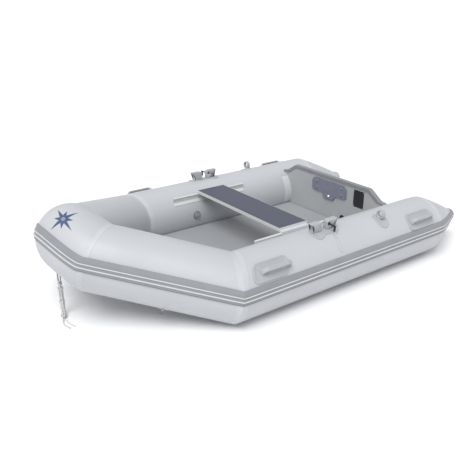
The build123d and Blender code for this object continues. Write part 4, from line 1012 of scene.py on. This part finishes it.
def grip_rows(x, angle):
    """Sections of a handle's grip from one foot to the other."""
    base, outward, across = side_spot(x, angle, 0.0)
    path = []
    for k in range(10):
        turn = math.pi / 2 * k / 9
        rise = (GRIP_HEIGHT - GRIP_LOW) * math.sin(turn)
        path.append((-GRIP_END + GRIP_FOOT * (1 - math.cos(turn)), GRIP_LOW + rise))
    path += [(-GRIP_END + GRIP_FOOT + (GRIP_END - GRIP_FOOT) * k / 8, GRIP_HEIGHT) for k in range(1, 9)]
    path += [(-a, h) for a, h in reversed(path[:-1])]
    rows = []
    for a, h, run in path_runs(path):
        foot = max(0.0, 1 - h / (GRIP_HEIGHT * 0.8))
        half_w = GRIP_HALF[0] + GRIP_FLARE[0] * foot**1.5
        half_t = GRIP_HALF[1] + GRIP_FLARE[1] * foot
        row = []
        for k in range(48):
            turn = math.tau * k / 48
            w = half_w * math.copysign(abs(math.cos(turn)) ** 0.6, math.cos(turn))
            t = half_t * math.copysign(abs(math.sin(turn)) ** 0.6, math.sin(turn))
            if t > 0:
                ridge = math.cos(math.tau * GRIP_RIDGES * w / (2 * half_w))
                t -= GRIP_RIDGE * (1 - foot) * (1 + ridge) / 2
            row.append(base + AHEAD * (a - run.y * t) + outward * (h + run.x * t) + across * w)
        rows.append(row)
    return rows


def side_pad(name, x, angle, outline, steps, side):
    """A rubber moulding glued to a side tube."""
    return glued_pad(name, side_skin, (side_share(x), angle), outline, steps, [fitting_rubber], side)


def settle_fitting(node, *pieces):
    """Lets a fitting's rubber pieces ride with the hull in place of its CAD node."""
    for piece in pieces:
        settle(piece, "fitting_rubber", node)


handle_outline = rounded_box(*HANDLE_HALF, HANDLE_CORNER)
for end, x in HANDLE_X.items():
    for place, side in SIDES.items():
        pad = side_pad(f"handle_pad_{end}_{place}", x, HANDLE_ANGLE, handle_outline, RIM, side)
        rows = grip_rows(x, HANDLE_ANGLE)
        grip = lofted(f"handle_grip_{end}_{place}", rows, [fitting_rubber], side, capped=True)
        settle_fitting(f"handle_{end}_{place}", pad, grip)


# ---- rowlocks --------------------------------------------------------
# A lobed rubber moulding with two horns; the oar lies between them and a black pin
# through the after horn holds it. The pins slide out on their lanyards.
ROWLOCK_X = -0.06053
ROWLOCK_ANGLE = 84.0
ROWLOCK_PAD_ANGLE = 80.0
LOBE_X, LOBE_Y, LOBE_A, LOBE_B = 0.062, 0.008, 0.050, 0.056
MIDDLE_HALF = (0.065, 0.042)
# A horn's outline in millimetres: how far from the rowlock's middle, and how high.
HORN = [(22, 0), (22, 54), (36, 62), (110, 62), (88, 38), (84, 19), (94, 0)]
HORN_CORNER = 0.009
HORN_BASE = 0.003
# Its rounded edges in millimetres: how far across the tube, and how far drawn in there.
HORN_EDGES = ((-18, 4), (-17.4, 2), (-16, 0.7), (-13.5, 0), (0, 0), (13.5, 0), (16, 0.7), (17.4, 2), (18, 4))
PIN_HEIGHT = 0.044
PIN_HOLE_R = 0.0051
PIN_HOLE_HALF = 0.04
LOW_RIM = [(0.0, 0.0), (0.0, 0.003), (0.0008, 0.0045), (0.0026, 0.0056), (0.005, 0.006), (0.008, 0.006),
           (0.010, 0.0052), (0.0125, 0.0042)]


def lobed_outline(count=120):
    """Outer edge of two ellipses and a rectangle laid over each other."""
    loop = []
    for k in range(count):
        turn = math.tau * k / count
        c, s = math.cos(turn), math.sin(turn)
        reach = min(MIDDLE_HALF[0] / max(abs(c), 1e-6), MIDDLE_HALF[1] / max(abs(s), 1e-6))
        for x, y in ((LOBE_X, LOBE_Y), (-LOBE_X, -LOBE_Y)):
            a = (c / LOBE_A) ** 2 + (s / LOBE_B) ** 2
            b = -2 * (c * x / LOBE_A**2 + s * y / LOBE_B**2)
            d = b * b - 4 * a * ((x / LOBE_A) ** 2 + (y / LOBE_B) ** 2 - 1)
            if d > 0:
                reach = max(reach, (-b + math.sqrt(d)) / (2 * a))
        loop.append((c * reach, s * reach))
    for _ in range(3):
        loop = [((p[0] + 2 * q[0] + r[0]) / 4, (p[1] + 2 * q[1] + r[1]) / 4)
                for p, q, r in zip(loop[-1:] + loop[:-1], loop, loop[1:] + loop[:1])]
    return loop


def rounded_corners(corners, radius, steps=6):
    """A closed outline with its corners rounded off."""
    loop = []
    for i, corner in enumerate(corners):
        here = Vector(corner)
        ends = []
        for other in (corners[i - 1], corners[(i + 1) % len(corners)]):
            side_run = Vector(other) - here
            ends.append(here + side_run.normalized() * min(radius, side_run.length * 0.45))
        for k in range(steps + 1):
            t = k / steps
            loop.append(tuple(ends[0] * (1 - t) ** 2 + here * 2 * t * (1 - t) + ends[1] * t * t))
    return loop


def drilled(piece, middle, run, side):
    """Cuts the pin's hole through a horn, along a direction through a point."""
    ends = [middle + run * PIN_HOLE_HALF * way for way in (-1, 1)]
    start, end = (Vector((p.x, side * p.y, p.z)) for p in ends)
    run = (end - start).normalized()
    out = run.orthogonal().normalized()
    cutter = lofted("cutter", [circle_row(p, out, run.cross(out), PIN_HOLE_R, 32) for p in (start, end)],
                    [], capped=True)
    hole = piece.modifiers.new("hole", "BOOLEAN")
    hole.operation = "DIFFERENCE"
    hole.object = cutter
    hole.solver = "EXACT"
    whole = piece.evaluated_get(bpy.context.evaluated_depsgraph_get())
    data = bpy.data.meshes.new_from_object(whole)
    piece.modifiers.clear()
    piece.data = data
    bpy.data.objects.remove(cutter)


def horn(name, direction, side):
    """One horn of a rowlock, thick across the tube, with every edge rounded."""
    base, outward, across = side_spot(ROWLOCK_X, ROWLOCK_ANGLE, HORN_BASE)
    loop = rounded_corners([(a / 1000, h / 1000) for a, h in HORN], HORN_CORNER)
    rows = []
    for w, inset in HORN_EDGES:
        ring = inset_loop(loop, -inset / 1000)
        rows.append([base + AHEAD * (a * direction) + outward * h + across * (w / 1000) for a, h in ring])
    return lofted(name, rows, [fitting_rubber], side, capped=True, sharp=45)


# Black and smooth, with a soft shine along the pins' edges.
black_plastic = mottled("satin_black_acetal", "#26272a", "#1e1f22", 0.36, 0.003, 0.0001, 20.0)
for place, side in SIDES.items():
    pad = side_pad(f"rowlock_pad_{place}", ROWLOCK_X, ROWLOCK_PAD_ANGLE, lobed_outline(), LOW_RIM, side)
    fore = horn(f"rowlock_horn_fore_{place}", 1, side)
    aft = horn(f"rowlock_horn_aft_{place}", -1, side)
    axle, outward, across = side_spot(PIN_X, ROWLOCK_ANGLE, PIN_HEIGHT)
    drilled(aft, axle, across, side)
    settle_fitting(f"rowlock_base_{place}", pad, fore, aft)
    paint(black_plastic, f"rowlock_pin_{place}")
    ease_edges(0.0012, f"rowlock_pin_{place}")


# ---- oar clips -------------------------------------------------------
# A rubber ring on a teardrop pad that holds a stowed oar's shaft. Ring and pad are
# moulded in one and glued to the tube.
CLIP_X = -0.52453
CLIP_ANGLE = 69.0
CLIP_PAD_ANGLE = 62.0
CLIP_BORE = 0.021
CLIP_WALL = 0.008
CLIP_HALF_W = 0.013
CLIP_EDGE = 0.0032
CLIP_RISE = 0.032         # its middle above the tube's skin
CLIP_STEM = 0.010         # how much thicker the ring is where it stands on the pad
TEAR_BIG, TEAR_BIG_R = Vector((0.0, 0.012)), 0.047
TEAR_TIP, TEAR_TIP_R = Vector((0.016, -0.038)), 0.030


def tear_outline(count=40):
    """Two circles and the straight lines that touch both."""
    gap = TEAR_TIP - TEAR_BIG
    lean = math.degrees(math.atan2(gap.y, gap.x))
    spread = math.degrees(math.acos((TEAR_BIG_R - TEAR_TIP_R) / gap.length))
    loop = []
    for middle, radius, first, last in ((TEAR_TIP, TEAR_TIP_R, lean - spread, lean + spread),
                                        (TEAR_BIG, TEAR_BIG_R, lean + spread, lean - spread + 360)):
        for k in range(count + 1):
            turn = math.radians(first + (last - first) * k / count)
            loop.append((middle.x + radius * math.cos(turn), middle.y + radius * math.sin(turn)))
    return loop


clip_section = rounded_box(CLIP_HALF_W, CLIP_WALL / 2, CLIP_EDGE, 2, 5)
for place, side in SIDES.items():
    pad = side_pad(f"oar_clip_pad_{place}", CLIP_X, CLIP_PAD_ANGLE, tear_outline(), LOW_RIM, side)
    centre, outward, across = side_spot(CLIP_X, CLIP_ANGLE, CLIP_RISE)
    rows = []
    for k in range(72):
        turn = math.tau * k / 72
        ray = across * math.cos(turn) + outward * math.sin(turn)
        stem = CLIP_STEM * max(0.0, -math.sin(turn)) ** 8
        row = []
        for a, r in clip_section:
            reach = CLIP_BORE + CLIP_WALL / 2 + r + (stem if r > 0 else 0)
            row.append(centre + AHEAD * (a * (1 + stem * 20)) + ray * reach)
        rows.append(row)
    ring = lofted(f"oar_clip_ring_{place}", rows, [fitting_rubber], side, joined=True)
    settle_fitting(f"oar_clip_{place}", pad, ring)


# ---- inflation valves ------------------------------------------------
# Grey nylon: a flange welded into the tube, a push-in plunger and a cap that turns.
# They keep their CAD shapes, with rounded edges.

# Pale grey nylon, satin.
valve_plastic = mottled("satin_pale_grey_nylon", "#a3a7aa", "#999da0", 0.42, 0.003, 0.0002, 25.0)
# The flange is a darker nylon than the cap.
flange_plastic = mottled("satin_dark_grey_nylon", "#72777c", "#686d72", 0.42, 0.003, 0.0002, 25.0)
for place in SIDES:
    paint(valve_plastic, f"valve_cap_{place}", f"valve_plunger_{place}")
    paint(flange_plastic, f"valve_body_{place}")
    ease_edges(0.0010, f"valve_body_{place}", f"valve_cap_{place}")
    ease_edges(0.0005, f"valve_plunger_{place}")


# ---- towing ring and lifting rings -----------------------------------
# Bent stainless rings in webbing keepers on round fabric patches: the tow ring under
# the nose and one lifting ring low on each bow quarter.
WEBBING_T = 0.0016
TOW_POINT, TOW_NORMAL = Vector((1.36332, 0, 0.274995)), Vector((0.543551, 0, -0.839376))
TOW_PATCH_R = 0.050
DRING_ALONG = 0.352       # from the bend along the bow quarter
DRING_ANGLE = -50.0
DRING_PATCH_R = 0.030
BAR_HEIGHT = 0.009        # of a ring's bar over its patch
PATCH_STEPS = [(0.0, 0.0), (0.0, 0.0012), (0.0006, 0.0019), (0.002, 0.0024), (0.004, 0.0026)]

# Ribbed grey tape, the most matt of the fabrics.
webbing = mottled("ribbed_grey_polyester_webbing", "#a7a9ac", "#97999d", 0.7, 0.002, 0.0005, 60.0)
# Stainless wire given a darker tone than the bolts.
dark_toned_steel = mottled("dark_toned_stainless_wire", "#8c8d8e", "#7d7e80", 0.32, 0.002, 0.0001, 80.0, 1.0)
paint(dark_toned_steel, "tow_ring", "dring_port", "dring_starboard")


def webbing_keeper(name, point, normal, bar, half, wire, reach, side=1):
    """A strap of webbing that lies on its patch, goes over a ring's bar and comes down again."""
    tangent = bar.cross(normal).normalized()
    loop_r = wire + 0.0002 + WEBBING_T / 2
    path = [(-reach, 0.0036), (-reach * 0.7, 0.0037), (-loop_r * 1.35, 0.0048)]
    path += [(loop_r * -math.cos(math.radians(t)), BAR_HEIGHT + loop_r * math.sin(math.radians(t)))
             for t in range(-20, 201, 20)]
    path += [(-a, h) for a, h in reversed(path[:3])]
    section = rounded_box(half, WEBBING_T / 2, WEBBING_T * 0.45, 4, 3)
    rows = [[point + tangent * (a - run.y * t) + normal * (h + run.x * t) + bar * w for w, t in section]
            for a, h, run in path_runs(path)]
    return lofted(name, rows, [webbing], side, capped=True)


def patch_on(name, skin, spot, radius, side=1):
    """A round patch of tape fabric glued on a skin about a spot."""
    outline = [tuple(p.xy) for p in circle_row(Vector(), AHEAD, OUT, radius, 72)]
    return glued_pad(name, skin, spot, outline, PATCH_STEPS, [tape_fabric], side)


def angle_at(skin, share, target):
    """Angle at which a skin passes closest to a point."""
    return min((k / 4 for k in range(-720, 721)), key=lambda a: (skin(share, a, 0) - target).length)


patch = patch_on("tow_patch_fabric", nose_skin, (0.5, angle_at(nose_skin, 0.5, TOW_POINT)), TOW_PATCH_R)
keeper = webbing_keeper("tow_keeper", TOW_POINT, TOW_NORMAL, OUT, 0.010, 0.0035, 0.020)
settle_fitting("tow_patch", patch, keeper)


def quarter_skin(share, angle, lift):
    """Point on or over a bow quarter's skin."""
    return tube_skin(1, share, angle, lift)


outward = spoke(1, DRING_ANGLE)
start, end = generator(1, DRING_ANGLE, TUBE_R)
foot = AXIS[1] + RUNS[1] * DRING_ALONG + outward * TUBE_R
spot = ((foot - start).length / (end - start).length, DRING_ANGLE)
for place, side in SIDES.items():
    patch = patch_on(f"dring_patch_{place}", quarter_skin, spot, DRING_PATCH_R, side)
    keeper = webbing_keeper(f"dring_keeper_{place}", foot, outward, RUNS[1], 0.007, 0.0025, 0.015, side)
    settle_fitting("dring_patches", patch, keeper)


# ---- bow emblem ------------------------------------------------------
# A badge stuck on the nose, cut from thin coloured vinyl: a plain eight-pointed compass
# star with a pale middle.
EMBLEM_SPOT = (0.325, 50.0)
EMBLEM_T = 0.0009
STAR_LONG, STAR_SHORT, STAR_WAIST = 0.088, 0.056, 0.026
BOSS_R = 0.012
EMBLEM_TURN = 12.0

# Slate blue and pale grey vinyl, satin.
slate_vinyl = mottled("satin_slate_blue_vinyl", "#43597f", "#3b5074", 0.38, 0.006, 0.0001, 20.0)
grey_vinyl = mottled("satin_grey_vinyl", "#8d949f", "#838a96", 0.38, 0.006, 0.0001, 20.0)
share, angle = EMBLEM_SPOT
NOSE_PER_SHARE = (nose_skin(share + 0.001, angle) - nose_skin(share - 0.001, angle)).length / 0.002
NOSE_PER_DEGREE = (nose_skin(share, angle + 0.5) - nose_skin(share, angle - 0.5)).length


def on_nose(radius, degrees, lift):
    """Point of the badge at that distance and direction from its middle."""
    turn = math.radians(degrees + EMBLEM_TURN)
    along = EMBLEM_SPOT[0] + radius * math.cos(turn) / NOSE_PER_SHARE
    return nose_skin(along, EMBLEM_SPOT[1] + radius * math.sin(turn) / NOSE_PER_DEGREE, lift)


def star_reach(degrees):
    """Edge of the star in that direction: straight lines from its points to its waists."""
    place = degrees % 90
    tip = STAR_LONG if place < 22.5 or place > 67.5 else STAR_SHORT
    off = math.radians(min(place, abs(place - 45), 90 - place))
    half = math.radians(22.5)
    return tip * STAR_WAIST * math.sin(half) / (tip * math.sin(off) + STAR_WAIST * math.sin(half - off))


scales = [(1.0, 0.0)] + [(scale, EMBLEM_T) for scale in (1.0, 0.8, 0.6, 0.4, 0.2, 0.03)]
rows = [[on_nose(star_reach(1.5 * k) * scale, 1.5 * k, lift) for k in range(240)] for scale, lift in scales]
settle(lofted("bow_emblem_star", rows, [slate_vinyl], capped=True, sharp=50), "tube_fabric")
rings = [(BOSS_R, EMBLEM_T)] + [(reach, 2 * EMBLEM_T) for reach in (BOSS_R, BOSS_R / 2, BOSS_R / 12)]
rows = [[on_nose(reach, 6 * k, lift) for k in range(60)] for reach, lift in rings]
settle(lofted("bow_emblem_boss", rows, [grey_vinyl], capped=True, sharp=50), "tube_fabric")
